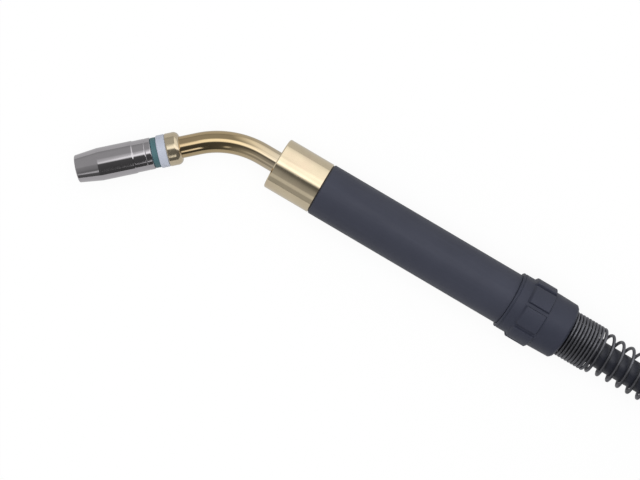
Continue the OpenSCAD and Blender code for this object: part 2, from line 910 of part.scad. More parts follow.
function coil_radius(u) = coil_in_r + coil_pitch * abs(u - coil_turn_back);
function coil_lift(u) = coil_pitch * ease((u - coil_turn_back) / coil_climb + 0.5);
function coil_point(u) =
    coil_centre + [coil_radius(u) * sin(360 * u), coil_radius(u) * cos(360 * u), coil_lift(u)];

coil_way_out = [cos(tail_heading), -sin(tail_heading), 0];
coil_path = concat(
    [coil_start],
    [for (i = [0:coil_rings * coil_turns]) coil_point(i / coil_rings)],
    [coil_point(coil_turns) + cable_d * coil_way_out]
);
coil_end = coil_path[len(coil_path) - 1];
coil_least_gap = least_step(coil_path, coil_rings / 2) - cable_d;
echo(least_gap_between_coil_turns = coil_least_gap);

module cable_along(path, sides) {
    color("black") swept_tube(path, [for (p = path) [0, 0, 1]], cable_r, sides);
}

module cable_lead() {
    cable_along(lead_path, lead_sides);
}

module cable_coil() {
    cable_along(coil_path, coil_sides);
}

module cable_tail() {
    side = [-coil_way_out[1], coil_way_out[0], 0];
    cable_along([for (p = tail_route)
        coil_end + p[0] * coil_way_out + p[1] * side + [0, 0, p[2]]], lead_sides);
}

module coil_straps() {
    half_h = coil_pitch / 2 + cable_r + strap_gap;
    color("dimgray") for (f = strap_turns) {
        radii = [for (n = [0:floor(coil_turns - f)]) coil_radius(n + f)];
        half_w = (max(radii) - min(radii)) / 2 + cable_r + strap_gap;
        translate([coil_centre[0], coil_centre[1], coil_z + coil_pitch / 2])
            rotate([0, 0, 90 - 360 * f])
                translate([(max(radii) + min(radii)) / 2, 0, 0])
                    rotate([90, 0, 0])
                        linear_extrude(strap_w, center = true) difference() {
                            round_box(half_w + strap_t, half_h + strap_t, cable_r + strap_t);
                            round_box(half_w, half_h, cable_r);
                        }
    }
}

// Rectangle with round corners, given by its half width and half height
module round_box(half_w, half_h, corner) {
    square([2 * half_w, 2 * (half_h - corner)], center = true);
    square([2 * (half_w - corner), 2 * half_h], center = true);
    for (x = [-1, 1], y = [-1, 1])
        translate([x * (half_w - corner), y * (half_h - corner)]) circle(corner);
}

// ---- connector ----

module plug_boot() {
    first = 6;
    rim = 1;
    shoulder = 2;
    cone_len = boot_len - boot_plug_len;
    cone_grow = boot_big_r - boot_small_d / 2;
    step = (cone_len - 2 * first) / boot_grooves;
    color("black") on_plug(0) difference() {
        turned([
            [boot_bore_r, 0],
            [boot_small_d / 2 - rim, 0],
            [boot_small_d / 2, rim],
            [boot_big_r, cone_len - shoulder],
            [boot_big_r, boot_len],
            [boot_bore_r, boot_len]
        ]);
        for (i = [0:boot_grooves - 1]) {
            z = first + (i + 0.5) * step;
            outer = boot_small_d / 2 + cone_grow * z / cone_len;
            turned([
                [outer - boot_groove_depth, z - boot_groove_w / 2],
                [boot_big_r + past, z - boot_groove_w / 2],
                [boot_big_r + past, z + boot_groove_w / 2],
                [outer - boot_groove_depth, z + boot_groove_w / 2]
            ]);
        }
    }
}

module plug_housing() {
    round_len = 4;
    round_depth = 1.5;
    neck_from = housing_len - housing_neck_len;
    boot_seat = boot_plug_len + fit_gap;
    color("darkslategray") on_plug(housing_k) difference() {
        turned([
            [boot_big_r + fit_gap, 0],
            [housing_r - round_depth, 0],
            [housing_r, round_len],
            [housing_r, neck_from],
            [housing_neck_r, neck_from],
            [housing_neck_r, housing_len],
            [housing_bore_r, housing_len],
            [housing_bore_r, boot_seat],
            [boot_big_r + fit_gap, boot_seat]
        ]);
        for (turn = [0, 180])
            rotate([0, 0, turn])
                translate([housing_r - housing_flat, -housing_r, round_len])
                    cube([housing_r, 2 * housing_r, neck_from - 2 * round_len]);
        radial(housing_screw_k - housing_k, 180)
            cylinder(r = screw_r / 2 + fit_gap, h = housing_r + past);
    }
}

module plug_housing_screw() {
    head_r = 0.9 * screw_r;
    head_len = 1;
    slot_w = 0.8;
    slot_depth = 0.6;
    seat = housing_r - housing_flat;
    color("dimgray") on_plug(0) radial(housing_screw_k, 180) difference() {
        union() {
            translate([0, 0, block_body_r - housing_screw_in])
                cylinder(r = screw_r / 2, h = seat - block_body_r + housing_screw_in);
            translate([0, 0, seat]) cylinder(r = head_r, h = head_len);
        }
        translate([-slot_w / 2, -head_r - past, seat + head_len - slot_depth])
            cube([slot_w, 2 * head_r + 2 * past, slot_depth + past]);
    }
}

module plug_block() {
    relief = 0.4;
    relief_len = 1.2;
    nose = 1;
    color("goldenrod") on_plug(0) difference() {
        turned([
            [liner_way_r, block_k],
            [block_body_r, block_k],
            [block_body_r, block_flange_k],
            [block_flange_r, block_flange_k],
            [block_flange_r, face_k],
            [centre_pin_r, face_k],
            [centre_pin_r, face_front_k],
            [centre_pin_r - relief, face_front_k],
            [centre_pin_r - relief, face_front_k + relief_len],
            [centre_pin_r, face_front_k + relief_len],
            [centre_pin_r, pin_tip_k - nose],
            [centre_pin_r - nose, pin_tip_k],
            [liner_way_r, pin_tip_k]
        ]);
        radial(housing_screw_k, 180) translate([0, 0, block_body_r - housing_screw_in - fit_gap])
            cylinder(r = screw_r / 2 + fit_gap, h = housing_screw_in + past);
        control_pin_places(face_k - pin_bore_len)
            cylinder(r = control_pin_head_r + loose_gap, h = pin_bore_len + past);
        gas_place(face_k - pin_bore_len) cylinder(r = nipple_r + fit_gap, h = pin_bore_len + past);
        gas_place(block_k - past) cylinder(r = gas_way_r, h = face_k - block_k + past);
    }
}

// The two control pins stand on the lower side of the face and the gas nipple on top
module control_pin_place(side, k) {
    rotate([0, 0, side * control_pin_spread]) translate([pin_circle_r, 0, k]) children();
}

module control_pin_places(k) {
    for (side = [-1, 1])
        control_pin_place(side, k) children();
}

module gas_place(k) {
    translate([-pin_circle_r, 0, k]) children();
}

module plug_face() {
    color("black") on_plug(0) difference() {
        translate([0, 0, face_k]) cylinder(r = block_flange_r, h = face_len);
        translate([0, 0, face_k - past]) cylinder(r = centre_pin_r + fit_gap, h = face_len + 2 * past);
        control_pin_places(face_k - past)
            cylinder(r = control_pin_r + run_gap, h = face_len + 2 * past);
        gas_place(face_k - past) cylinder(r = nipple_r + fit_gap, h = face_len + 2 * past);
    }
}

module plug_union_nut() {
    groove_r = 1.6;
    groove_depth = 1.2;
    groove_from = 6;
    cone_len = 3;
    rear_r = union_r - 2.8;
    lip_bore_r = housing_neck_r + lip_gap;
    mouth_edge = 1.2;
    color("dimgray") on_plug(union_k) difference() {
        turned([
            [lip_bore_r, 0],
            [rear_r, 0],
            [union_r, cone_len],
            [union_r, union_len - mouth_edge],
            [union_r - mouth_edge, union_len],
            [union_bore_d / 2, union_len],
            [union_bore_d / 2, union_lip_len],
            [lip_bore_r, union_lip_len]
        ]);
        for (i = [0:union_ribs - 1])
            rotate([0, 0, 360 * (i + 0.5) / union_ribs])
                translate([union_r + groove_r - groove_depth, 0, groove_from])
                    cylinder(r = groove_r, h = union_len);
    }
}

// Contact pin with a wider head behind the face, on its own spring
module control_pin(side) {
    nose = 1;
    pin_end = face_front_k + control_pin_out;
    color("goldenrod") on_plug(0) control_pin_place(side, 0) turned([
        [0, face_k - control_head_len - face_gap],
        [control_pin_head_r, face_k - control_head_len - face_gap],
        [control_pin_head_r, face_k - face_gap],
        [control_pin_r, face_k - face_gap],
        [control_pin_r, pin_end - nose],
        [control_pin_r - nose, pin_end],
        [0, pin_end]
    ]);
}

module plug_control_pin_a() {
    control_pin(-1);
}

module plug_control_pin_b() {
    control_pin(1);
}

module plug_gas_nipple() {
    groove = gas_seal_wire_r;
    nose = 0.6;
    out_k = face_front_k + nipple_out;
    seal_k = out_k - nipple_seal_back;
    color("goldenrod") on_plug(0) gas_place(0) turned([
        [nipple_bore_r, face_k - pin_bore_len],
        [nipple_r, face_k - pin_bore_len],
        [nipple_r, seal_k - groove],
        [nipple_r - groove, seal_k - groove],
        [nipple_r - groove, seal_k + groove],
        [nipple_r, seal_k + groove],
        [nipple_r, out_k - nose],
        [nipple_r - nose, out_k],
        [nipple_bore_r, out_k]
    ]);
}

module plug_gas_seal() {
    seal_k = face_front_k + nipple_out - nipple_seal_back;
    wire_r = gas_seal_wire_r - fit_gap;
    ring_r = nipple_r - gas_seal_wire_r + fit_gap + wire_r;
    color("black") on_plug(0) gas_place(seal_k)
        rotate_extrude() translate([ring_r, 0]) circle(wire_r);
}

module plug_liner_nut() {
    nose_len = 3;
    shoulder_r = liner_nut_af / 2 - edge;
    color("goldenrod") on_plug(pin_tip_k + fit_gap) difference() {
        union() {
            hex_bar(liner_nut_af, liner_nut_len - nose_len);
            turned([
                [0, 0],
                [shoulder_r, 0],
                [shoulder_r, liner_nut_len - nose_len],
                [liner_r, liner_nut_len],
                [0, liner_nut_len]
            ]);
        }
        translate([0, 0, -past]) cylinder(r = liner_bore_r, h = liner_nut_len + 2 * past);
    }
}

gas_nozzle();
contact_tip();
gas_diffuser();
tip_holder();
nozzle_grip_spring();
nozzle_seal_ring();
nozzle_insulator();
head_nut();
swan_neck();
neck_insulation();
neck_conductor();
wire_liner();
neck_collar();
collar_grub_screws();
handle_tube();
handle_screws();
neck_socket();
inner_sleeve();
coupling_nut();
cable_terminal();
crimp_ferrule();
cable_inner_end();
spring_seat();
rear_nut();
strain_spring();
cable_lead();
cable_coil();
cable_tail();
coil_straps();
plug_boot();
plug_housing();
plug_housing_screw();
plug_block();
plug_face();
plug_union_nut();
plug_control_pin_a();
plug_control_pin_b();
plug_gas_nipple();
plug_gas_seal();
plug_liner_nut();
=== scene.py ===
"""Looks of the MIG welding torch: metal, plastic and rubber finishes, the cable in its coil,
the wound spring, and the turned and moulded pieces with their rounded edges.

Sizes are in millimetres until a mesh is made. X runs along the handle towards the cable and
Z is up from the table.
"""

import math
from collections import namedtuple

import bmesh
import bpy
from mathutils import Matrix, Vector


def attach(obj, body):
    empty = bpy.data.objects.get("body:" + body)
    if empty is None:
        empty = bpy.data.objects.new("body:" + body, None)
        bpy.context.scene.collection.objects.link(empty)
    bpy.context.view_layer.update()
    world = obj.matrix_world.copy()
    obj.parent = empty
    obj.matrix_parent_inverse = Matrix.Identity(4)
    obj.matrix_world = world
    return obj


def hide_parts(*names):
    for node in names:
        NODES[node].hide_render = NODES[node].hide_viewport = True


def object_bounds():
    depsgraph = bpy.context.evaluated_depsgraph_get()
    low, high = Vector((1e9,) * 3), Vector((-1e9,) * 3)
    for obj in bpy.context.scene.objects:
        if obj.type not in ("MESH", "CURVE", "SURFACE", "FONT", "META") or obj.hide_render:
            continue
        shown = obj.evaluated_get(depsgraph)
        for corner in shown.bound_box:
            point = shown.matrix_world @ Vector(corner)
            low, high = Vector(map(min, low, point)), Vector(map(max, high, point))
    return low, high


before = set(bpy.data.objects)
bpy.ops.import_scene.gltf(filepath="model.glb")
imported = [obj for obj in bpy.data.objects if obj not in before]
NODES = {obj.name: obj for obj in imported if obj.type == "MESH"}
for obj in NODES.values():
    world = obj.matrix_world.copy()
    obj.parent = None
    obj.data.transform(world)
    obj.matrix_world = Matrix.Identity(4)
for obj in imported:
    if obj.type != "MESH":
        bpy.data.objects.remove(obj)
CAD_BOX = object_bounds()
MM = 0.001
FLOOR_Z = CAD_BOX[0].z
DOWN = Vector((0, 0, -1))
UP = Vector((0, 0, 1))


# ---- camera ----

# The picture is 640 pixels wide, and the camera looks straight down at the table
PICTURE_W = 640
FOCAL_PIXELS = 1400
SENSOR_W = 36.0
CAMERA_AT = Vector((-60.8, -32.6, 1018.0)) * MM
CAMERA_TURN = math.radians(30.5)
CLIP_NEAR = 0.01
CLIP_FAR = 50.0
IMAGE_RIGHT = Vector((math.cos(CAMERA_TURN), math.sin(CAMERA_TURN), 0))
IMAGE_UP = Vector((-math.sin(CAMERA_TURN), math.cos(CAMERA_TURN), 0))


def make_camera():
    data = bpy.data.cameras.new("camera")
    data.sensor_width = SENSOR_W
    data.lens = SENSOR_W * FOCAL_PIXELS / PICTURE_W
    data.clip_start = CLIP_NEAR
    data.clip_end = CLIP_FAR
    camera = bpy.data.objects.new("camera", data)
    bpy.context.scene.collection.objects.link(camera)
    camera.location = CAMERA_AT
    camera.rotation_euler = (0, 0, CAMERA_TURN)
    bpy.context.scene.camera = camera


make_camera()


# ---- sizes that several pieces share ----

# The head is turned from the handle's axis by this angle
NECK_ANGLE = math.radians(42.3)
HEAD_AXIS = Vector((-math.cos(NECK_ANGLE), -math.sin(NECK_ANGLE), 0))
X_AXIS = Vector((1, 0, 0))
# The torch lies on the pads of its rear nut and on its connector's union nut
NUT_X = 79.2
NUT_LEN = 47.0
PAD_R = 24.2
UNION_R = 25.0
BOOT_LEN = 58.0
# Gap between pieces that fit into or round each other
FIT_GAP = 0.05


# ---- mesh helpers ----


def mesh_object(name, points, faces, material, flat=()):
    """Smooth mesh from points in millimetres; the faces numbered in flat stay flat."""
    mesh = bpy.data.meshes.new(name)
    mesh.from_pydata([tuple(p * MM) for p in points], [], faces)
    mesh.polygons.foreach_set("use_smooth", [i not in flat for i in range(len(faces))])
    work = bmesh.new()
    work.from_mesh(mesh)
    bmesh.ops.recalc_face_normals(work, faces=work.faces)
    work.to_mesh(mesh)
    work.free()
    mesh.materials.append(material)
    obj = bpy.data.objects.new(name, mesh)
    bpy.context.scene.collection.objects.link(obj)
    return obj


def grid_faces(rows, columns, close_rows=False):
    """Quads between rows of points, where each row closes on itself."""
    faces = []
    for i in range(rows if close_rows else rows - 1):
        a, b = i * columns, (i + 1) % rows * columns
        for j in range(columns):
            k = (j + 1) % columns
            faces.append((a + j, a + k, b + k, b + j))
    return faces


def ease(t):
    t = min(1.0, max(0.0, t))
    return t * t * (3 - 2 * t)


def place(origin, axis):
    """Frame whose Z runs along the axis from the origin, and whose X points down."""
    z = Vector(axis).normalized()
    y = z.cross(DOWN)
    m = Matrix((y.cross(z), y, z)).transposed().to_4x4()
    m.translation = Vector(origin)
    return m


# Points this far beside a rounded corner or a tube's end keep the shading next to it true
HOLD = 0.12
# A rounded corner takes up at most this share of the sides beside it
CORNER_SHARE = 0.4


def soften(rows, radius, steps=3):
    """Closed outline with rounded corners; points beside each corner keep the faces flat."""
    soft = []
    for i, p in enumerate(rows):
        before, after = rows[i - 1] - p, rows[(i + 1) % len(rows)] - p
        cut = min(radius, CORNER_SHARE * before.length, CORNER_SHARE * after.length)
        a, b = before.normalized(), after.normalized()
        if before.length > 2 * (cut + HOLD):
            soft.append(p + a * (cut + HOLD))
        for k in range(steps + 1):
            t = k / steps
            soft.append(p + a * cut * (1 - t) ** 2 + b * cut * t**2)
        if after.length > 2 * (cut + HOLD):
            soft.append(p + b * (cut + HOLD))
    return soft


def spaced(sides):
    return [2 * math.pi * k / sides for k in range(sides)]


def turned(name, at, outline, material, soft=0.25, angles=None, share=None, sides=160):
    """Turned piece. A point of the outline is (station, radius) or (station, low, high):
    then the radius lies between low and high by the share at each angle."""
    rows = [Vector((p[0], p[1], p[-1])) for p in outline]
    rows = soften(rows, soft)
    angles = angles or spaced(sides)
    shares = [share(a) if share else 0.0 for a in angles]
    points = []
    for station, low, high in rows:
        for a, s in zip(angles, shares):
            r = low + (high - low) * s
            points.append(at @ Vector((r * math.cos(a), r * math.sin(a), station)))
    return mesh_object(name, points, grid_faces(len(rows), len(angles), close_rows=True), material)


def carved(station, radius):
    """Point of a turned outline whose share is a depth in millimetres."""
    return station, radius, radius - 1


def circle(radius, sides):
    return [(radius * math.cos(a), radius * math.sin(a)) for a in spaced(sides)]


def sweep(name, line, section, material, first_up=UP):
    """Bar along the line: the section's (across, up) points are carried without twisting."""
    up = first_up
    points = []
    last = len(line) - 1
    for i, p in enumerate(line):
        along = (line[min(i + 1, last)] - line[max(i - 1, 0)]).normalized()
        up = (up - along * up.dot(along)).normalized()
        across = along.cross(up)
        points += [p + across * u + up * v for u, v in section]
    sides = len(section)
    faces = grid_faces(len(line), sides)
    caps = (len(faces), len(faces) + 1)
    faces.append(tuple(range(sides)))
    faces.append(tuple(last * sides + k for k in range(sides)))
    return mesh_object(name, points, faces, material, flat=caps)


def catmull(points, step):
    """Smooth line through the points, with a point about every step."""
    line = []
    last = len(points) - 1
    for i in range(last):
        p0, p1, p2, p3 = points[max(i - 1, 0)], points[i], points[i + 1], points[min(i + 2, last)]
        chord = (p2 - p1).length
        count = max(1, round(chord / step))
        m1 = (p2 - p0) * (chord / (p2 - p0).length)
        m2 = (p3 - p1) * (chord / (p3 - p1).length)
        for k in range(count):
            t = k / count
            line.append(
                p1 * (2 * t**3 - 3 * t**2 + 1)
                + m1 * (t**3 - 2 * t**2 + t)
                + p2 * (3 * t**2 - 2 * t**3)
                + m2 * (t**3 - t**2)
            )
    line.append(points[last])
    return line


def finish_piece(piece, body, slot, *nodes):
    """The piece rides on the body and stands for the nodes, which it hides. The slot is not used."""
    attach(piece, body)
    if nodes:
        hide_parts(*nodes)
    return piece


# ---- materials ----


class Tree:
    """Node tree of a material or a world, with short ways to add and join nodes."""

    def __init__(self, owner):
        owner.use_nodes = True
        self.nodes = owner.node_tree.nodes
        self.links = owner.node_tree.links

    def add(self, kind, **settings):
        node = self.nodes.new(kind)
        for key, value in settings.items():
            setattr(node, key, value)
        return node

    def join(self, source, target):
        self.links.new(source, target)

    def put(self, value, socket):
        """Sets the socket to a number, or joins it to another node's output."""
        if isinstance(value, (int, float)):
            socket.default_value = value
        else:
            self.join(value, socket)

    def math(self, operation, a, b=0.0):
        node = self.add("ShaderNodeMath", operation=operation)
        self.put(a, node.inputs[0])
        self.put(b, node.inputs[1])
        return node.outputs[0]

    def mix(self, share, a, b):
        node = self.add("ShaderNodeMix", data_type="FLOAT")
        self.put(share, node.inputs[0])
        self.put(a, node.inputs[2])
        self.put(b, node.inputs[3])
        return node.outputs[0]

    def dot(self, vector, axis):
        """How far the vector reaches along the axis."""
        node = self.add("ShaderNodeVectorMath", operation="DOT_PRODUCT")
        self.join(vector, node.inputs[0])
        node.inputs[1].default_value = axis
        return node.outputs["Value"]


class Paint(Tree):
    """A material with its principled shader, and ways to give it colour, gloss and relief."""

    def __init__(self, name, color, roughness, metallic=0.0, **sockets):
        self.material = bpy.data.materials.new(name)
        super().__init__(self.material)
        self.shader = self.nodes["Principled BSDF"]
        self.shader.inputs["Base Color"].default_value = (*color, 1)
        self.shader.inputs["Roughness"].default_value = roughness
        self.shader.inputs["Metallic"].default_value = metallic
        for socket, value in sockets.items():
            self.shader.inputs[socket.replace("_", " ")].default_value = value
        self.place = self.add("ShaderNodeTexCoord").outputs["Object"]
        self.normal = None

    def along(self, axis):
        """Distance along an axis, in metres."""
        return self.dot(self.place, axis)

    def noise(self, scale, detail=2.0, roughness=0.5, stretch=None):
        node = self.add("ShaderNodeTexNoise")
        if stretch:
            mapping = self.add("ShaderNodeMapping")
            mapping.inputs["Scale"].default_value = stretch
            self.join(self.place, mapping.inputs["Vector"])
            self.join(mapping.outputs["Vector"], node.inputs["Vector"])
        else:
            self.join(self.place, node.inputs["Vector"])
        node.inputs["Scale"].default_value = scale
        node.inputs["Detail"].default_value = detail
        node.inputs["Roughness"].default_value = roughness
        return node.outputs["Fac"]

    def rings(self, axis, scale, detail=3.0):
        """Noise that changes only along one axis, as turning marks do."""
        node = self.add("ShaderNodeTexNoise", noise_dimensions="1D")
        self.join(self.along(axis), node.inputs["W"])
        node.inputs["Scale"].default_value = scale
        node.inputs["Detail"].default_value = detail
        return node.outputs["Fac"]

    def spread(self, value, low, high, start=0.3, end=0.7):
        """Runs from low to high while the value runs from start to end."""
        node = self.add("ShaderNodeMapRange")
        self.join(value, node.inputs["Value"])
        names = ("From Min", "From Max", "To Min", "To Max")
        for name, number in zip(names, (start, end, low, high)):
            node.inputs[name].default_value = number
        return node.outputs["Result"]

    def tint(self, value, dark, light, start=0.3, end=0.7):
        """Base colour between two colours, following a value."""
        ramp = self.add("ShaderNodeValToRGB")
        first, last = ramp.color_ramp.elements
        first.position, last.position = start, end
        first.color, last.color = (*dark, 1), (*light, 1)
        self.join(value, ramp.inputs["Fac"])
        self.join(ramp.outputs["Color"], self.shader.inputs["Base Color"])
        return ramp.outputs["Color"]

    def stain(self, under, value, color):
        """Mixes a colour over the base colour where the value is high."""
        mix = self.add("ShaderNodeMix", data_type="RGBA")
        self.join(value, mix.inputs[0])
        self.join(under, mix.inputs[6])
        mix.inputs[7].default_value = (*color, 1)
        self.join(mix.outputs[2], self.shader.inputs["Base Color"])
        return mix.outputs[2]

    def rough(self, value, low, high):
        self.join(self.spread(value, low, high), self.shader.inputs["Roughness"])

    def bump(self, value, height):
        """Adds relief of the height, in millimetres."""
        node = self.add("ShaderNodeBump")
        node.inputs["Strength"].default_value = 1.0
        node.inputs["Distance"].default_value = height * MM
        self.join(value, node.inputs["Height"])
        if self.normal:
            self.join(self.normal, node.inputs["Normal"])
        self.normal = node.outputs["Normal"]
        self.join(self.normal, self.shader.inputs["Normal"])


def shade(color, factor):
    return tuple(c * factor for c in color)


BRASS = (0.86, 0.735, 0.525)
# The neck's brass: more orange than the collar's, and darker as painted shade for the neck's darker
# reflections
SHADED_NECK_BRASS = (0.57, 0.442, 0.255)
# Paler brass for the neck near the collar: a painted highlight
PAINTED_HIGHLIGHT_BRASS = (0.62, 0.53, 0.39)
COPPER = (0.80, 0.43, 0.28)
CHROME = (0.52, 0.50, 0.52)
DARK_STEEL = (0.10, 0.10, 0.105)
SPRING_STEEL = (0.17, 0.172, 0.19)
STEEL = (0.55, 0.55, 0.56)
TARNISH = (0.60, 0.44, 0.30)
HANDLE_SLATE = (0.052, 0.056, 0.080)
NUT_SLATE = (0.045, 0.049, 0.072)
PLUG_GREY = (0.035, 0.037, 0.043)
RUBBER = (0.014, 0.014, 0.015)
IVORY = (0.62, 0.58, 0.47)
COLD_WHITE = (0.60, 0.64, 0.75)
TEAL = (0.075, 0.17, 0.19)
CERAMIC = (0.78, 0.75, 0.68)
CABLE_BLACK = (0.020, 0.022, 0.033)
STRAP_BLACK = (0.013, 0.013, 0.014)
# What a pink cloud leaves of the brass's colour
PINK_SHARES = (0.98, 0.86, 0.92)
# Stations along the neck, in metres, between which its brass grows pale: a painted highlight for the
# brighter reflection near the collar
PAINTED_HIGHLIGHT_FROM = -0.150
PAINTED_HIGHLIGHT_TO = -0.116
# Directions along which a woven band's relief rises and falls
WEAVE_AXES = ((1, 1, 0), (0, 0, 1), (1, -1, 0))


def metal(name, color, roughness, axis=X_AXIS, marks=0.002, cloud=0.06, wave=0.004):
    """Turned and polished metal: fine rings, clouds of tarnish, hair scratches, slight waves."""
    paint = Paint(name, color, roughness, metallic=1.0)
    clouds = paint.noise(110, detail=4, roughness=0.6)
    base = paint.tint(clouds, dark=shade(color, 1 - cloud), light=shade(color, 1 + cloud / 2))
    spots = paint.noise(45, detail=5, roughness=0.7)
    spots = paint.spread(spots, low=0.0, high=0.22, start=0.5, end=0.75)
    paint.stain(base, spots, shade(color, 0.72))
    gloss = paint.noise(320, detail=5, roughness=0.65)
    paint.rough(gloss, low=roughness * 0.7, high=roughness * 1.6)
    if marks:
        paint.bump(paint.rings(axis, scale=2600), height=marks)
    scratches = paint.noise(1500, stretch=(0.06, 1, 1))
    paint.bump(scratches, height=0.0008)
    paint.bump(paint.noise(70), height=wave)
    return paint.material


def brass(name, color, roughness, axis=X_AXIS, marks=0.002, wave=0.004, metallic=1.0, pale=None):
    """Polished brass: fine rings, faint pink clouds, small spots of tarnish, slight waves. Pale is
    a (colour, from, to): that colour comes in between these stations on the axis, in metres,
    as a painted highlight."""
    paint = Paint(name, color, roughness, metallic=metallic)
    clouds = paint.noise(90, detail=4, roughness=0.6)
    base = paint.tint(clouds, dark=shade(color, 0.93), light=shade(color, 1.03))
    pink = paint.noise(38, detail=3, roughness=0.6)
    pink = paint.spread(pink, low=0.0, high=0.5, start=0.5, end=0.8)
    base = paint.stain(base, pink, [c * share for c, share in zip(color, PINK_SHARES)])
    # painted highlight: between the stations the base colour turns to the paler brass
    if pale:
        highlight_color, start, end = pale
        highlight_share = paint.spread(paint.along(axis), low=0.0, high=1.0, start=start, end=end)
        base = paint.stain(base, highlight_share, highlight_color)
    spots = paint.noise(160, detail=6, roughness=0.75)
    spots = paint.spread(spots, low=0.0, high=0.2, start=0.6, end=0.8)
    paint.stain(base, spots, shade(TARNISH, 0.9))
    gloss = paint.noise(260, detail=5, roughness=0.65)
    paint.rough(gloss, low=roughness * 0.75, high=roughness * 1.4)
    if marks:
        paint.bump(paint.rings(axis, scale=2400), height=marks)
    paint.bump(paint.noise(75), height=wave)
    return paint.material


def plastic(name, color, roughness, grain=0.012, grain_scale=2200, cloud=0.07, **sockets):
    """Moulded plastic or rubber: fine grain, slight change of tone and gloss, dusty specks."""
    paint = Paint(name, color, roughness, **sockets)
    tone = paint.noise(32, detail=3, roughness=0.55)
    base = paint.tint(tone, dark=shade(color, 1 - cloud), light=shade(color, 1 + cloud))
    specks = paint.spread(paint.noise(900), low=0.0, high=0.35, start=0.68, end=0.8)
    paint.stain(base, specks, shade(color, 1.5))
    gloss = paint.noise(140, detail=4, roughness=0.6)
    paint.rough(gloss, low=roughness - 0.05, high=roughness + 0.07)
    paint.bump(paint.noise(grain_scale, detail=3, roughness=0.6), height=grain)
    return paint.material


def handle_plastic(name, color, roughness, **sockets):
    """Satin tube: fine grain with faint rubbed streaks along the tube."""
    paint = Paint(name, color, roughness, **sockets)
    tone = paint.noise(26, detail=3, roughness=0.6)
    base = paint.tint(tone, dark=shade(color, 0.94), light=shade(color, 1.07))
    streaks = paint.noise(420, detail=3, roughness=0.6, stretch=(0.04, 1, 1))
    streaks = paint.spread(streaks, low=0.0, high=0.35, start=0.5, end=0.8)
    paint.stain(base, streaks, shade(color, 1.25))
    gloss = paint.noise(200, detail=4, roughness=0.6, stretch=(0.2, 1, 1))
    paint.rough(gloss, low=roughness - 0.06, high=roughness + 0.06)
    paint.bump(paint.noise(1900, detail=3, roughness=0.6), height=0.012)
    return paint.material


def weave(name, color, pitch=0.9):
    """Woven band: crossing threads in relief and in tone, with a soft sheen."""
    paint = Paint(name, color, 0.85, Sheen_Weight=0.5, Sheen_Roughness=0.5)
    waves = []
    for axis in WEAVE_AXES:
        angle = paint.along(Vector(axis).normalized() / (pitch * MM) * 2 * math.pi)
        waves.append(paint.math("SINE", angle))
    cross = paint.math("MULTIPLY", paint.math("MULTIPLY", waves[0], waves[1]), waves[2])
    tone = paint.spread(cross, low=0.0, high=1.0, start=-1.0, end=1.0)
    paint.tint(tone, dark=shade(color, 0.6), light=shade(color, 1.5), start=0.2, end=0.8)
    paint.bump(cross, height=0.12)
    paint.bump(paint.noise(2500, detail=3, roughness=0.7), height=0.1)
    return paint.material


chrome = metal("chrome_plate", CHROME, 0.06, HEAD_AXIS, marks=0.001, cloud=0.04)
brass_head = brass("brass_head_nut", shade(BRASS, 0.79), 0.13, HEAD_AXIS, marks=0.003, metallic=0.88)
# The neck's brass turns paler towards the collar: a painted highlight
brass_neck = brass(
    "brass_neck", SHADED_NECK_BRASS, 0.07, marks=0.0, wave=0.008, pale=(PAINTED_HIGHLIGHT_BRASS, PAINTED_HIGHLIGHT_FROM, PAINTED_HIGHLIGHT_TO)
)
brass_collar = brass("brass_collar", shade(BRASS, 0.88), 0.09, marks=0.0012, wave=0.009)
brass_plug = brass("brass_plug", shade(BRASS, 0.95), 0.18, marks=0.004)
copper = metal("copper_parts", COPPER, 0.22, marks=0.004, cloud=0.12)
copper_tip = metal("copper_tip", COPPER, 0.2, HEAD_AXIS, marks=0.005, cloud=0.12)
steel_dark = metal("steel_screws", DARK_STEEL, 0.3, marks=0.0, cloud=0.15)
steel_bright = metal("steel_bright", STEEL, 0.25, marks=0.003, cloud=0.1)
spring_steel = metal("spring_wire", SPRING_STEEL, 0.4, marks=0.0, cloud=0.15)
handle_skin = handle_plastic("handle_slate", HANDLE_SLATE, 0.46, Specular_IOR_Level=0.26)
nut_skin = plastic("rear_nut_slate", NUT_SLATE, 0.44, grain=0.008, Specular_IOR_Level=0.25)
housing_skin = plastic("plug_grey", PLUG_GREY, 0.42, grain=0.015)
rubber_skin = plastic("boot_rubber", RUBBER, 0.6, grain=0.03, grain_scale=1200)
ivory_skin = plastic("inner_plastic", IVORY, 0.45, grain=0.01)
white_skin = plastic("insulator_white", COLD_WHITE, 0.34, grain=0.006, cloud=0.05)
teal_skin = plastic("seal_teal", TEAL, 0.5, grain=0.02, grain_scale=900, cloud=0.18)
ceramic_skin = plastic("diffuser_ceramic", CERAMIC, 0.55, grain=0.02)
cable_skin = plastic("cable_jacket", CABLE_BLACK, 0.42, grain_scale=1400, cloud=0.05)
strap_skin = weave("strap_weave", STRAP_BLACK)

# Finish of each node that keeps its own mesh
FINISHES = {
    "contact_tip": copper_tip,
    "gas_diffuser": ceramic_skin,
    "tip_holder": copper_tip,
    "nozzle_grip_spring": steel_bright,
    "neck_insulation": rubber_skin,
    "neck_conductor": copper,
    "wire_liner": steel_bright,
    "neck_collar": brass_collar,
    "collar_grub_screws": steel_dark,
    "handle_tube": handle_skin,
    "handle_screws": steel_dark,
    "neck_socket": copper,
    "inner_sleeve": ivory_skin,
    "coupling_nut": brass_plug,
    "cable_terminal": copper,
    "crimp_ferrule": steel_bright,
    "cable_inner_end": cable_skin,
    "spring_seat": ivory_skin,
    "plug_housing_screw": steel_dark,
    "plug_block": brass_plug,
    "plug_face": rubber_skin,
    "plug_control_pin_a": brass_plug,
    "plug_control_pin_b": brass_plug,
    "plug_gas_nipple": brass_plug,
    "plug_gas_seal": rubber_skin,
    "plug_liner_nut": brass_plug,
}


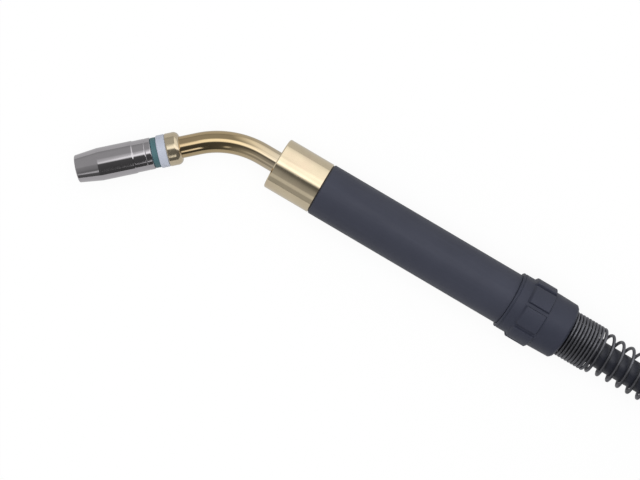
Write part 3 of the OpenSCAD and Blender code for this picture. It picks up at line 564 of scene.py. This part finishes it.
def dress_nodes():
    for node, material in FINISHES.items():
        slots = NODES[node].data.materials
        slots.clear()
        slots.append(material)


dress_nodes()


# ---- cable: from the rear nut through its coil to the connector ----

CABLE_R = 10.0
CABLE_D = 2 * CABLE_R
CABLE_EXIT = Vector((NUT_X + NUT_LEN, 0, 0))
COIL_TURNS = 3.5
COIL_IN_R = 82.0
COIL_GAP = 0.6
COIL_PITCH = CABLE_D + COIL_GAP
# The coil climbs to its second layer over this share of a turn
COIL_CLIMB = 0.5
COIL_RINGS = 48
# Room under the coil for its straps
STRAP_ROOM = 1.8
# Heights of the coil's lower layer and of the connector; the table is PAD_R below the handle's axis
COIL_Z = CABLE_R + STRAP_ROOM - PAD_R
PLUG_Z = UNION_R - PAD_R
# The cable's way to the coil, from where it leaves the rear nut
LEAD_ROUTE = [
    (-26, 0, 0), (-4, 0, 0), (30, -1.3, 0), (75, -1.3, -0.1), (108, -1.2, -1.2),
    (140, -0.8, -4.8), (172, -0.3, -9.6), (200, 0, COIL_Z), (218, 0, COIL_Z),
]
# The cable's far end steps down to the connector and back towards the handle
TAIL_STEP = 14.0
TAIL_DROP = PLUG_Z - COIL_Z - COIL_PITCH
TAIL_ROUTE = [(0, 0), (5, 0), (30, 0.16), (55, 0.5), (80, 0.84), (105, 1), (115, 1)]
CABLE_STEP = 7.0
CABLE_SIDES = 28


def coil_radius(u):
    return COIL_IN_R + COIL_PITCH * abs(u - COIL_TURNS / 2)


def coil_points(start):
    """The lower layer spirals in and the upper one out again, clockwise as seen from above."""
    centre = start + Vector((CABLE_D, -coil_radius(0), 0))
    points = []
    for i in range(int(COIL_RINGS * COIL_TURNS) + 1):
        u = i / COIL_RINGS
        lift = COIL_PITCH * ease((u - COIL_TURNS / 2) / COIL_CLIMB + 0.5)
        a = 2 * math.pi * u
        points.append(centre + Vector((math.sin(a), math.cos(a), 0)) * coil_radius(u) + UP * lift)
    return points


def cable_points():
    lead = [CABLE_EXIT + Vector(p) for p in LEAD_ROUTE]
    coil = coil_points(lead[-1])
    # after its last half turn the cable heads towards -X
    end = coil[-1] - Vector((CABLE_D, 0, 0))
    tail = [end + Vector((-x, TAIL_STEP * s, TAIL_DROP * s)) for x, s in TAIL_ROUTE]
    boot = tail[-1]
    return lead, coil, tail + [boot - Vector((BOOT_LEN, 0, 0))], boot


LEAD, COIL, TAIL, BOOT_AT = cable_points()


def make_cable():
    line = catmull(LEAD + COIL + TAIL, CABLE_STEP)
    piece = sweep("cable_jacket", line, circle(CABLE_R, CABLE_SIDES), cable_skin)
    finish_piece(piece, "torch", "cable_black", "cable_lead", "cable_coil", "cable_tail")
    return piece, line


cable, cable_line = make_cable()


# ---- straps round the coil ----

STRAP_TURNS = (0.1, 0.4)
STRAP_W = 14.0
STRAP_T = 1.2
STRAP_GAP = 0.4
STRAP_POINTS = 120
# Rounded edges of the band: how far in from its side, and the share of its half thickness there
STRAP_EDGE = ((0, 0), (0.35, 0.8), (1.1, 1))
# The free end lies over the loop between these shares of the way round it, and its tip curls up
FLAP_FROM, FLAP_TO = 0.13, 0.42
FLAP_LIFT = 0.15
CURL_LIFT = 0.225
CURL_ROWS = 3


def round_loop(corners, radius, steps=10):
    """Closed line drawn tight round circles at the corners, as pairs of a point and its normal."""
    line = []
    for i, corner in enumerate(corners):
        before, after = corner - corners[i - 1], corners[(i + 1) % len(corners)] - corner
        turn = math.atan2(-before.x, before.y)
        bend = (math.atan2(-after.x, after.y) - turn) % (2 * math.pi)
        for k in range(steps + 1):
            a = turn + bend * k / steps
            normal = Vector((math.cos(a), math.sin(a)))
            line.append((corner + normal * radius, normal))
    return line


def resample(line, count):
    """Evenly spaced points, with their normals, round a closed line."""
    closed = line + line[:1]
    lengths = [(b[0] - a[0]).length for a, b in zip(closed, closed[1:])]
    step = sum(lengths) / count
    even, i, passed = [], 0, 0.0
    for k in range(count):
        while passed + lengths[i] < k * step:
            passed += lengths[i]
            i += 1
        t = (k * step - passed) / lengths[i]
        a, b = closed[i], closed[i + 1]
        even.append((a[0].lerp(b[0], t), a[1].lerp(b[1], t).normalized()))
    return even


def band_section(lift):
    """Section of the woven band: (across, out) points with rounded edges."""
    edge = [(STRAP_W / 2 - inset, STRAP_T / 2 * share) for inset, share in STRAP_EDGE]
    upper = [(-u, lift + v) for u, v in edge] + [(u, lift + v) for u, v in reversed(edge)]
    lower = [(u, lift - v) for u, v in edge[1:]] + [(-u, lift - v) for u, v in reversed(edge[1:])]
    return upper + lower


def make_strap(name, fraction):
    """Strap round all the turns of the coil where each has gone round by the fraction."""
    turns = [n + fraction for n in range(int(COIL_TURNS - fraction) + 1)]
    low = [coil_radius(u) for u in turns if u < COIL_TURNS / 2]
    high = [coil_radius(u) for u in turns if u > COIL_TURNS / 2]
    half_h = COIL_PITCH / 2
    corners = [
        Vector((max(high), half_h)), Vector((min(high), half_h)),
        Vector((min(low), -half_h)), Vector((max(low), -half_h)),
    ]
    centre = COIL[0] + Vector((0, -coil_radius(0), half_h))
    turn = math.pi / 2 - 2 * math.pi * fraction
    out = Vector((math.cos(turn), math.sin(turn), 0))
    side = UP.cross(out)
    loop = resample(round_loop(corners, CABLE_R + STRAP_GAP + STRAP_T / 2), STRAP_POINTS)

    def point(p, normal, u, v):
        flat = p + normal * v
        return centre + out * flat.x + UP * flat.y + side * u

    points = [point(p, n, u, v) for p, n in loop for u, v in band_section(0)]
    columns = len(band_section(0))
    faces = grid_faces(len(loop), columns, close_rows=True)
    # the free end lies over the loop's top, held by its hooks
    start, end = int(FLAP_FROM * len(loop)), int(FLAP_TO * len(loop))
    first = len(points)
    for i in range(start, end + 1):
        curl = CURL_LIFT * ease((i - end + CURL_ROWS) / CURL_ROWS)
        section = band_section(STRAP_T + FLAP_LIFT + curl)
        points += [point(*loop[i], u, v) for u, v in section]
    rows = end - start + 1
    faces += [tuple(first + c for c in face) for face in grid_faces(rows, columns)]
    faces.append(tuple(first + k for k in range(columns)))
    faces.append(tuple(first + (rows - 1) * columns + k for k in range(columns)))
    return mesh_object(name, points, faces, strap_skin, flat=(len(faces) - 1, len(faces) - 2))


def make_straps():
    """Two straps, of which the first stands for the node of both."""
    first, second = [make_strap(f"coil_tie_{i + 1}", f) for i, f in enumerate(STRAP_TURNS)]
    finish_piece(first, "torch", "strap_fabric", "coil_straps")
    finish_piece(second, "torch", "strap_fabric")
    return [first, second]


straps = make_straps()


# ---- head: nozzle, seal ring, insulator and nut, by stations along the head's axis ----

BEND_X = -128.4
BEND_R = 65.5
NECK_R = 8.0
NECK_BORE_R = 6.6
HEAD_NUT_LEN = 10.0
HEAD_NUT_R = 12.1
HEAD_NUT_EDGE = 0.5
# Rear edge of the head nut: stations from its back, and how far inside its radius
HEAD_NUT_BACK = ((0, 2.6), (1.0, 1.1), (2.9, 0))
FLANGE_LEN = 6.6
FLANGE_R = 12.0
INSULATOR_EDGE = 0.6
INSULATOR_BORE_R = 7.25
# The insulator's spigot is in a pocket of the head nut
SPIGOT_LEN = 1.6
SPIGOT_R = 9.7
POCKET_LEN = SPIGOT_LEN + FIT_GAP
POCKET_R = 9.8
# The nozzle's seat on the insulator, with the groove of the ring that grips it
SEAT_LEN = 14.0
SEAT_R = 9.94
GRIP_AT = 6.3
GRIP_W = 1.4
GRIP_R = 8.9
SEAL_LEN = 4.4
SEAL_R = 11.15
SEAL_EDGE = 0.4
SEAL_GAP = 0.2
NOZZLE_LEN = 56.0
NOZZLE_R = 12.0
NOZZLE_BORE_R = 10.0
NOZZLE_EDGE = 0.3
# A fine line is turned into the nozzle's narrower rear end
NOZZLE_REAR_LEN = 13.8
NOZZLE_REAR_R = 11.6
NOZZLE_STEP = 0.6
NOZZLE_LINE_AT = 4.0
NOZZLE_CONE_LEN = 16.7
MOUTH_R = 10.1
MOUTH_BORE_R = 8.0
MOUTH_EDGE = 0.4
MOUTH_TAPER = 20.0

NUT_H = 13.0
FLANGE_H = NUT_H + HEAD_NUT_LEN
SEAL_H = FLANGE_H + FLANGE_LEN
NOZZLE_H = SEAL_H + SEAL_LEN
SEAT_END_H = NOZZLE_H + SEAT_LEN
MOUTH_H = NOZZLE_H + NOZZLE_LEN


def bend_point(angle):
    """Point of the neck's bend where it has turned by the angle."""
    return Vector((BEND_X - BEND_R * math.sin(angle), BEND_R * (math.cos(angle) - 1), 0))


HEAD_AT = bend_point(NECK_ANGLE)
on_head = place(HEAD_AT, HEAD_AXIS)


def make_nozzle():
    line, step = NOZZLE_H + NOZZLE_LINE_AT, NOZZLE_H + NOZZLE_REAR_LEN
    outline = [
        (NOZZLE_H, NOZZLE_BORE_R + NOZZLE_EDGE), (NOZZLE_H, NOZZLE_REAR_R - NOZZLE_EDGE),
        (NOZZLE_H + NOZZLE_EDGE, NOZZLE_REAR_R),
        (line, NOZZLE_REAR_R), (line + NOZZLE_EDGE, NOZZLE_REAR_R - NOZZLE_EDGE),
        (line + 2 * NOZZLE_EDGE, NOZZLE_REAR_R),
        (step - NOZZLE_STEP, NOZZLE_REAR_R), (step, NOZZLE_R),
        (MOUTH_H - NOZZLE_CONE_LEN, NOZZLE_R),
        (MOUTH_H - MOUTH_EDGE, MOUTH_R), (MOUTH_H, MOUTH_R - MOUTH_EDGE),
        (MOUTH_H, MOUTH_BORE_R + NOZZLE_EDGE), (MOUTH_H - NOZZLE_EDGE, MOUTH_BORE_R),
        (MOUTH_H - MOUTH_TAPER, NOZZLE_BORE_R), (NOZZLE_H + NOZZLE_EDGE, NOZZLE_BORE_R),
    ]
    piece = turned("nozzle_shell", on_head, outline, chrome, soft=0.3)
    finish_piece(piece, "nozzle", "nozzle_chrome", "gas_nozzle")


def make_seal():
    end = NOZZLE_H - SEAL_GAP
    outline = [
        (SEAL_H, SEAT_R + FIT_GAP), (SEAL_H, SEAL_R - SEAL_EDGE), (SEAL_H + SEAL_EDGE, SEAL_R),
        (end - SEAL_EDGE, SEAL_R), (end, SEAL_R - SEAL_EDGE), (end, SEAT_R + FIT_GAP),
    ]
    piece = turned("seal_ring", on_head, outline, teal_skin, soft=0.35)
    finish_piece(piece, "torch", "seal_teal", "nozzle_seal_ring")


def make_insulator():
    spigot = FLANGE_H - SPIGOT_LEN
    grip0, grip1 = NOZZLE_H + GRIP_AT, NOZZLE_H + GRIP_AT + GRIP_W
    outline = [
        (spigot, INSULATOR_BORE_R), (spigot, SPIGOT_R), (FLANGE_H, SPIGOT_R),
        (FLANGE_H, FLANGE_R - INSULATOR_EDGE), (FLANGE_H + INSULATOR_EDGE, FLANGE_R),
        (SEAL_H - INSULATOR_EDGE, FLANGE_R), (SEAL_H, FLANGE_R - INSULATOR_EDGE), (SEAL_H, SEAT_R),
        (grip0, SEAT_R), (grip0, GRIP_R), (grip1, GRIP_R), (grip1, SEAT_R),
        (SEAT_END_H - INSULATOR_EDGE, SEAT_R), (SEAT_END_H, SEAT_R - INSULATOR_EDGE),
        (SEAT_END_H, INSULATOR_BORE_R),
    ]
    piece = turned("insulator_ring", on_head, outline, white_skin, soft=0.5)
    finish_piece(piece, "torch", "insulator_white", "nozzle_insulator")


def make_head_nut():
    pocket = FLANGE_H - POCKET_LEN
    outline = [(NUT_H, NECK_R + FIT_GAP)]
    outline += [(NUT_H + h, HEAD_NUT_R - inside) for h, inside in HEAD_NUT_BACK]
    outline += [
        (FLANGE_H - HEAD_NUT_EDGE, HEAD_NUT_R), (FLANGE_H, HEAD_NUT_R - HEAD_NUT_EDGE),
        (FLANGE_H, POCKET_R), (pocket, POCKET_R), (pocket, NECK_R + FIT_GAP),
    ]
    piece = turned("head_nut_shell", on_head, outline, brass_head, soft=0.8)
    finish_piece(piece, "torch", "head_nut_brass", "head_nut")


make_nozzle()
make_seal()
make_insulator()
make_head_nut()


# ---- swan neck ----

NECK_REAR_X = -86.0
NECK_FRONT_H = 21.0
NECK_STEPS = 72
NECK_SIDES = 112


def make_neck():
    # points beside each end keep the straight stretches' shading true
    line = [Vector((x, 0, 0)) for x in (NECK_REAR_X, NECK_REAR_X - HOLD, BEND_X + HOLD)]
    line += [bend_point(NECK_ANGLE * i / NECK_STEPS) for i in range(NECK_STEPS + 1)]
    line += [HEAD_AT + HEAD_AXIS * h for h in (HOLD, NECK_FRONT_H - HOLD, NECK_FRONT_H)]
    points, rows = [], len(line)
    for i, p in enumerate(line):
        along = (line[min(i + 1, rows - 1)] - line[max(i - 1, 0)]).normalized()
        across = along.cross(UP)
        for r in (NECK_R, NECK_BORE_R):
            for a in spaced(NECK_SIDES):
                points.append(p + (across * math.cos(a) + UP * math.sin(a)) * r)
    faces = []
    for i in range(rows - 1):
        for wall in range(2):
            a = (2 * i + wall) * NECK_SIDES
            b = a + 2 * NECK_SIDES
            for j in range(NECK_SIDES):
                k = (j + 1) % NECK_SIDES
                faces.append((a + j, a + k, b + k, b + j))
    ends = []
    for a in (0, 2 * (rows - 1) * NECK_SIDES):
        for j in range(NECK_SIDES):
            k = (j + 1) % NECK_SIDES
            ends.append(len(faces))
            faces.append((a + j, a + k, a + NECK_SIDES + k, a + NECK_SIDES + j))
    piece = mesh_object("neck_tube", points, faces, brass_neck, flat=set(ends))
    finish_piece(piece, "torch", "neck_brass", "swan_neck")


make_neck()


# ---- rear nut ----

on_axis = place((0, 0, 0), X_AXIS)
NUT_R = 22.15
NUT_REAR_R = 21.7
NUT_THREAD_R = 18.68
NUT_SHOULDER = 26.0
NUT_NECK_R = 18.05
NUT_EDGE = 0.5
NUT_CHAMFER = 1.6
# A line is turned into the nut behind its front rim
NUT_RIM_W = 1.4
NUT_LINE_W = 0.8
NUT_LINE_DEPTH = 0.5
PADS = 8
PAD_X = 9.5
PAD_LEN = 17.8
PAD_BASE_R = 22.0
PAD_SLOT = 2.4
PAD_BEVEL = 1.6
PAD_FOOT = 0.4
# The uppermost pad is turned by this angle from the top
PAD_TURN = math.radians(14)
# Width of the wall between a slot and a pad, and the steps across it and across a pad's half
PAD_WALL = 0.55
WALL_STEPS = 5
PAD_STEPS = 5


def pad_angles():
    """Angles round the nut, closer together beside the walls of each slot."""
    half = math.pi / PADS
    wall = PAD_SLOT / 2 / PAD_BASE_R
    fine = PAD_WALL / PAD_BASE_R
    beside = wall + 3 * fine
    steps = [0, 0.5 * wall, wall - 0.5 * fine]
    steps += [wall + fine * k / WALL_STEPS for k in range(WALL_STEPS + 1)]
    steps += [wall + 1.6 * fine, beside]
    steps += [beside + (half - beside) * k / PAD_STEPS for k in range(1, PAD_STEPS)]
    offsets = [-s for s in reversed(steps[1:])] + steps + [half]
    slots = [math.pi + PAD_TURN + 2 * half * (i + 0.5) for i in range(PADS)]
    return [s + o for s in slots for o in offsets]


def pad_share(a):
    """0 in a slot, 1 on a pad, with a rounded wall between them."""
    step = 2 * math.pi / PADS
    off = (a - math.pi - PAD_TURN) / step - 0.5
    from_slot = abs(off - round(off)) * step * PAD_BASE_R
    return ease((from_slot - PAD_SLOT / 2) / PAD_WALL)


def make_rear_nut():
    x0, x1 = NUT_X, NUT_X + NUT_LEN
    pad0, pad1 = x0 + PAD_X, x0 + PAD_X + PAD_LEN
    line0, line1 = x0 + NUT_RIM_W, x0 + NUT_RIM_W + NUT_LINE_W
    line_r = NUT_R - NUT_LINE_DEPTH
    outline = [
        (x0, NUT_THREAD_R), (x0, NUT_R - NUT_EDGE), (x0 + NUT_EDGE, NUT_R),
        (line0, NUT_R), (line0, line_r), (line1, line_r), (line1, NUT_R),
        (pad0 - PAD_FOOT, NUT_R), (pad0, PAD_BASE_R, NUT_R), (pad0 + PAD_BEVEL, PAD_BASE_R, PAD_R),
        (pad1 - PAD_BEVEL / 2, PAD_BASE_R, PAD_R), (pad1, PAD_BASE_R, NUT_R),
        (pad1 + PAD_FOOT, NUT_R),
        (x1 - NUT_CHAMFER, NUT_REAR_R), (x1, NUT_REAR_R - NUT_CHAMFER), (x1, NUT_NECK_R),
        (x0 + NUT_SHOULDER, NUT_NECK_R), (x0 + NUT_SHOULDER, NUT_THREAD_R),
    ]
    piece = turned(
        "rear_nut_shell", on_axis, outline, nut_skin, soft=0.45, angles=pad_angles(), share=pad_share
    )
    finish_piece(piece, "rear_nut", "rear_nut_grey", "rear_nut")


make_rear_nut()


# ---- strain-relief spring ----

WIRE_R = 1.2
WIRE_SIDES = 14
SPRING_X = 106.25
CLOSED_R = 16.75
OPEN_R = 14.8
CLOSED_PITCH = 2.6
OPEN_PITCH = 8.45
CLOSED_TURNS = 17
OPEN_TURNS = 9
END_TURNS = 1
# The radius shrinks over this many turns
SPRING_EASE = 2
SPRING_PHASE = -math.pi / 2
SPRING_RINGS = 72


def grown(u, start):
    """Turns of the wider pitch since the start, which comes in over one turn."""
    if u < start:
        return 0
    return (u - start) ** 2 / 2 if u < start + 1 else u - start - 0.5


def make_spring():
    line = []
    for i in range(SPRING_RINGS * (CLOSED_TURNS + OPEN_TURNS + END_TURNS) + 1):
        u = i / SPRING_RINGS
        wide = grown(u, CLOSED_TURNS) - grown(u, CLOSED_TURNS + OPEN_TURNS)
        x = SPRING_X + CLOSED_PITCH * u + (OPEN_PITCH - CLOSED_PITCH) * wide
        r = CLOSED_R + (OPEN_R - CLOSED_R) * ease((u - CLOSED_TURNS) / SPRING_EASE)
        a = 2 * math.pi * u + SPRING_PHASE
        line.append(Vector((x, r * math.cos(a), r * math.sin(a))))
    section = circle(WIRE_R, WIRE_SIDES)
    piece = sweep("spring_coil", line, section, spring_steel, first_up=X_AXIS)
    finish_piece(piece, "torch", "spring_steel", "strain_spring")


make_spring()


# ---- connector, by stations k from where the cable enters the boot ----

on_plug = place(BOOT_AT, -X_AXIS)
BOOT_BORE_R = 10.1
BOOT_SMALL_R = 13.0
BOOT_BIG_R = 17.0
# The boot's cone ends where its plain end goes into the housing
BOOT_PLUG_LEN = 8.0
BOOT_CONE = BOOT_LEN - BOOT_PLUG_LEN
BOOT_EDGE = 1.0
BOOT_SHOULDER = 2.0
BOOT_FIRST = 6.0
BOOT_GROOVES = 6
BOOT_GROOVE_W = 2.4
BOOT_GROOVE_DEPTH = 1.6
BOOT_SIDES = 128
HOUSING_K = BOOT_CONE
HOUSING_LEN = 50.0
HOUSING_R = 20.5
HOUSING_NECK_R = 17.5
HOUSING_NECK_LEN = 7.0
HOUSING_NECK_K = HOUSING_K + HOUSING_LEN - HOUSING_NECK_LEN
HOUSING_BORE_R = 15.0
HOUSING_SIDES = 192
# Rear edge of the housing: stations from its back, and how far inside its radius
HOUSING_BACK = ((0, 1.5), (1.2, 0.6))
# The housing's two flats: depth, distance from the ends of its thick part, length of the ramps
FLAT_DEPTH = 1.2
FLAT_MARGIN = 4.0
FLAT_RAMP = 0.4
# Keeps the reach of a flat finite where its angle is a right one
LEAST_COSINE = 0.01
UNION_GAP = 0.2
UNION_K = HOUSING_NECK_K + UNION_GAP
UNION_LEN = 42.0
UNION_BORE_R = 20.5
UNION_LIP_R = 17.6
UNION_LIP_LEN = 6.6
UNION_BEVEL_LEN = 3.0
UNION_BEVEL_DEPTH = 2.8
UNION_EDGE = 1.2
# The union nut's grooves start behind a plain band, over a ramp
UNION_BAND = 5.6
GROOVE_RAMP = 1.0
UNION_RIBS = 18
RIB_SIDES = 16
UNION_GROOVE_R = 1.6
UNION_GROOVE_DEPTH = 1.2


def make_boot():
    def cone(k):
        return BOOT_SMALL_R + (BOOT_BIG_R - BOOT_SMALL_R) * k / BOOT_CONE

    outline = [(0, BOOT_BORE_R), (0, BOOT_SMALL_R - BOOT_EDGE), (BOOT_EDGE, BOOT_SMALL_R)]
    step = (BOOT_CONE - 2 * BOOT_FIRST) / BOOT_GROOVES
    for i in range(BOOT_GROOVES):
        k = BOOT_FIRST + (i + 0.5) * step
        low = cone(k) - BOOT_GROOVE_DEPTH
        k0, k1 = k - BOOT_GROOVE_W / 2, k + BOOT_GROOVE_W / 2
        outline += [(k0, cone(k0)), (k0, low), (k1, low), (k1, cone(k1))]
    outline += [
        (BOOT_CONE - BOOT_SHOULDER, BOOT_BIG_R), (BOOT_LEN, BOOT_BIG_R), (BOOT_LEN, BOOT_BORE_R),
    ]
    piece = turned("connector_boot", on_plug, outline, rubber_skin, soft=0.5, sides=BOOT_SIDES)
    return finish_piece(piece, "torch", "boot_rubber", "plug_boot")


def flat_share(a):
    """Depth of the housing's two flats below its round wall, in millimetres."""
    reach = (HOUSING_R - FLAT_DEPTH) / max(abs(math.cos(a)), LEAST_COSINE)
    return max(0.0, HOUSING_R - reach)


def make_housing():
    k0, k1 = HOUSING_K + FLAT_MARGIN, HOUSING_NECK_K - FLAT_MARGIN
    end = HOUSING_K + HOUSING_LEN
    boot_k, boot_r = BOOT_LEN + FIT_GAP, BOOT_BIG_R + FIT_GAP
    outline = [(HOUSING_K, boot_r)]
    outline += [(HOUSING_K + k, HOUSING_R - inside) for k, inside in HOUSING_BACK]
    outline += [
        (k0, HOUSING_R), carved(k0 + FLAT_RAMP, HOUSING_R), carved(k1 - FLAT_RAMP, HOUSING_R),
        (k1, HOUSING_R), (HOUSING_NECK_K, HOUSING_R), (HOUSING_NECK_K, HOUSING_NECK_R),
        (end, HOUSING_NECK_R), (end, HOUSING_BORE_R), (boot_k, HOUSING_BORE_R), (boot_k, boot_r),
    ]
    piece = turned(
        "connector_housing", on_plug, outline, housing_skin, soft=0.4,
        sides=HOUSING_SIDES, share=flat_share,
    )
    return finish_piece(piece, "torch", "plug_housing_grey", "plug_housing")


def groove_share(a):
    """Depth of the union nut's round grooves, in millimetres."""
    step = 2 * math.pi / UNION_RIBS
    off = a / step - 0.5
    from_groove = abs(off - round(off)) * step * UNION_R
    if from_groove >= UNION_GROOVE_R:
        return 0.0
    depth = math.sqrt(UNION_GROOVE_R**2 - from_groove**2) - UNION_GROOVE_R + UNION_GROOVE_DEPTH
    return max(0.0, depth)


def make_union_nut():
    k0, k1 = UNION_K, UNION_K + UNION_LEN
    outline = [
        (k0, UNION_LIP_R), (k0, UNION_R - UNION_BEVEL_DEPTH), (k0 + UNION_BEVEL_LEN, UNION_R),
        (k0 + UNION_BAND, UNION_R), carved(k0 + UNION_BAND + GROOVE_RAMP, UNION_R),
        carved(k1 - UNION_EDGE, UNION_R), (k1, UNION_R - UNION_EDGE), (k1, UNION_BORE_R),
        (k0 + UNION_LIP_LEN, UNION_BORE_R), (k0 + UNION_LIP_LEN, UNION_LIP_R),
    ]
    piece = turned(
        "connector_union_nut", on_plug, outline, housing_skin, soft=0.5,
        sides=UNION_RIBS * RIB_SIDES, share=groove_share,
    )
    return finish_piece(piece, "union_nut", "union_nut_grey", "plug_union_nut")


connector = [make_boot(), make_housing(), make_union_nut()]


# ---- floor, light and world ----

FLOOR_HALF = 6.0
FLOOR_TONE = 0.86
FLOOR_GLOW = 0.88
FLOOR_SEEN = 1.04
FLOOR_MIRRORED = 0.62
LAMP_HEIGHT = 1.6
LAMP_SIZE = 1.6
LAMP_WATTS = 13.0


def make_floor():
    """White floor that stays white as the camera sees it, and is greyer in a polished piece."""
    signs = ((-1, -1), (1, -1), (1, 1), (-1, 1))
    points = [Vector((x * FLOOR_HALF, y * FLOOR_HALF, FLOOR_Z)) / MM for x, y in signs]
    material = bpy.data.materials.new("floor_white")
    tree = Tree(material)
    tree.nodes.clear()
    diffuse = tree.add("ShaderNodeBsdfDiffuse")
    diffuse.inputs["Color"].default_value = (FLOOR_TONE, FLOOR_TONE, FLOOR_TONE, 1)
    glow = tree.add("ShaderNodeEmission")
    path = tree.add("ShaderNodeLightPath").outputs
    tree.join(tree.mix(path["Is Glossy Ray"], FLOOR_SEEN, FLOOR_MIRRORED), glow.inputs["Strength"])
    seen = tree.math("MAXIMUM", path["Is Camera Ray"], path["Is Glossy Ray"])
    seen = tree.math("MAXIMUM", seen, path["Is Transmission Ray"])
    mix = tree.add("ShaderNodeMixShader")
    tree.join(tree.math("MULTIPLY", seen, FLOOR_GLOW), mix.inputs["Fac"])
    tree.join(diffuse.outputs[0], mix.inputs[1])
    tree.join(glow.outputs[0], mix.inputs[2])
    out = tree.add("ShaderNodeOutputMaterial")
    tree.join(mix.outputs[0], out.inputs["Surface"])
    mesh_object("floor", points, [(0, 1, 2, 3)], material)


# Lights of the studio as polished pieces mirror them. Leans are levels by the lean from the
# zenith in degrees, above zero towards the picture's lower edge. Sides are levels by the way to
# the side, from -1 on the left to 1 on the right
Light = namedtuple("Light", "leans sides strength")
HIGH_LIGHT = Light(
    leans=((-92, 0.75), (-80, 0.9), (-66, 1)),
    sides=((0.08, 0.36), (0.27, 1), (0.36, 1), (0.5, 0.9)),
    strength=1.25,
)
LOW_LIGHT = Light(
    leans=((86, 1), (92, 0.4)),
    sides=((-0.4, 0.38), (-0.27, 0.28), (-0.2, 0.15), (-0.1, 0.1), (0, 0.08), (0.1, 0.07)),
    strength=1.0,
)
TOP_LAMP = Light(
    leans=((-32, 0), (-23, 1), (-3, 1), (6, 0)),
    sides=(
        (-0.36, 0), (-0.2, 0.15), (-0.165, 0.3), (-0.14, 0.75), (-0.02, 1), (0.1, 0.6), (0.25, 0.3),
    ),
    strength=1.4,
)
SIDE_LAMP = Light(
    leans=((43, 0), (48, 1), (60, 1), (65, 0)),
    sides=(
        (-0.46, 0.17), (-0.4, 0.2), (-0.3, 0), (-0.21, 0), (-0.2, 0.42), (-0.16, 0.42), (-0.14, 0),
        (0.065, 0), (0.075, 1), (0.12, 1), (0.15, 0),
    ),
    strength=1.3,
)
# The low light takes over from the high one between these leans
LOW_SHARE = ((1, 0), (9, 1))
# Level of the world for the camera, and for what isn't polished
WORLD_SEEN = 1.0
EVEN_LIGHT = 0.44
# Whole range of the leans, in degrees, and of the sides, from -1 to 1
FULL_TURN = 360
BOTH_SIDES = 2


def make_world():
    world = bpy.data.worlds.new("studio")
    bpy.context.scene.world = world
    tree = Tree(world)
    tree.nodes.clear()
    direction = tree.add("ShaderNodeTexCoord").outputs["Generated"]
    # the ramps run from 0 to 1, with a lean or a side of zero in the middle
    lean = tree.math("ARCTAN2", tree.dot(direction, -IMAGE_UP), tree.dot(direction, UP))
    lean = tree.math("ADD", tree.math("DIVIDE", lean, 2 * math.pi), 0.5)
    side = tree.math("DIVIDE", tree.dot(direction, IMAGE_RIGHT), BOTH_SIDES)
    side = tree.math("ADD", side, 0.5)

    def ramp(value, stops, whole):
        """Level between the stops, whose places are shares of the whole on both sides of 0."""
        node = tree.add("ShaderNodeValToRGB")
        elements = node.color_ramp.elements
        elements.remove(elements[1])
        for i, (at, level) in enumerate(stops):
            element = elements.new(0.5 + at / whole) if i else elements[0]
            element.position = 0.5 + at / whole
            element.color = (level, level, level, 1)
        tree.join(value, node.inputs["Fac"])
        return node.outputs["Color"]

    def shine(light):
        by_lean = ramp(lean, light.leans, FULL_TURN)
        by_side = ramp(side, light.sides, BOTH_SIDES)
        return tree.math("MULTIPLY", tree.math("MULTIPLY", by_lean, by_side), light.strength)

    level = tree.mix(ramp(lean, LOW_SHARE, FULL_TURN), shine(HIGH_LIGHT), shine(LOW_LIGHT))
    for lamp in (TOP_LAMP, SIDE_LAMP):
        level = tree.math("ADD", level, shine(lamp))
    path = tree.add("ShaderNodeLightPath").outputs
    level = tree.mix(path["Is Glossy Ray"], EVEN_LIGHT, level)
    level = tree.mix(path["Is Camera Ray"], level, WORLD_SEEN)
    background = tree.add("ShaderNodeBackground")
    background.inputs["Color"].default_value = (1, 1, 1, 1)
    tree.join(level, background.inputs["Strength"])
    out = tree.add("ShaderNodeOutputWorld")
    tree.join(background.outputs[0], out.inputs["Surface"])


def make_lamp():
    data = bpy.data.lights.new("soft_lamp", "AREA")
    data.shape = "DISK"
    data.size = LAMP_SIZE
    data.energy = LAMP_WATTS
    lamp = bpy.data.objects.new("soft_lamp", data)
    bpy.context.scene.collection.objects.link(lamp)
    lamp.location = (CAMERA_AT.x, CAMERA_AT.y, LAMP_HEIGHT)
    lamp.visible_glossy = False


make_floor()
make_world()
make_lamp()
bpy.context.scene.view_settings.view_transform = "Standard"
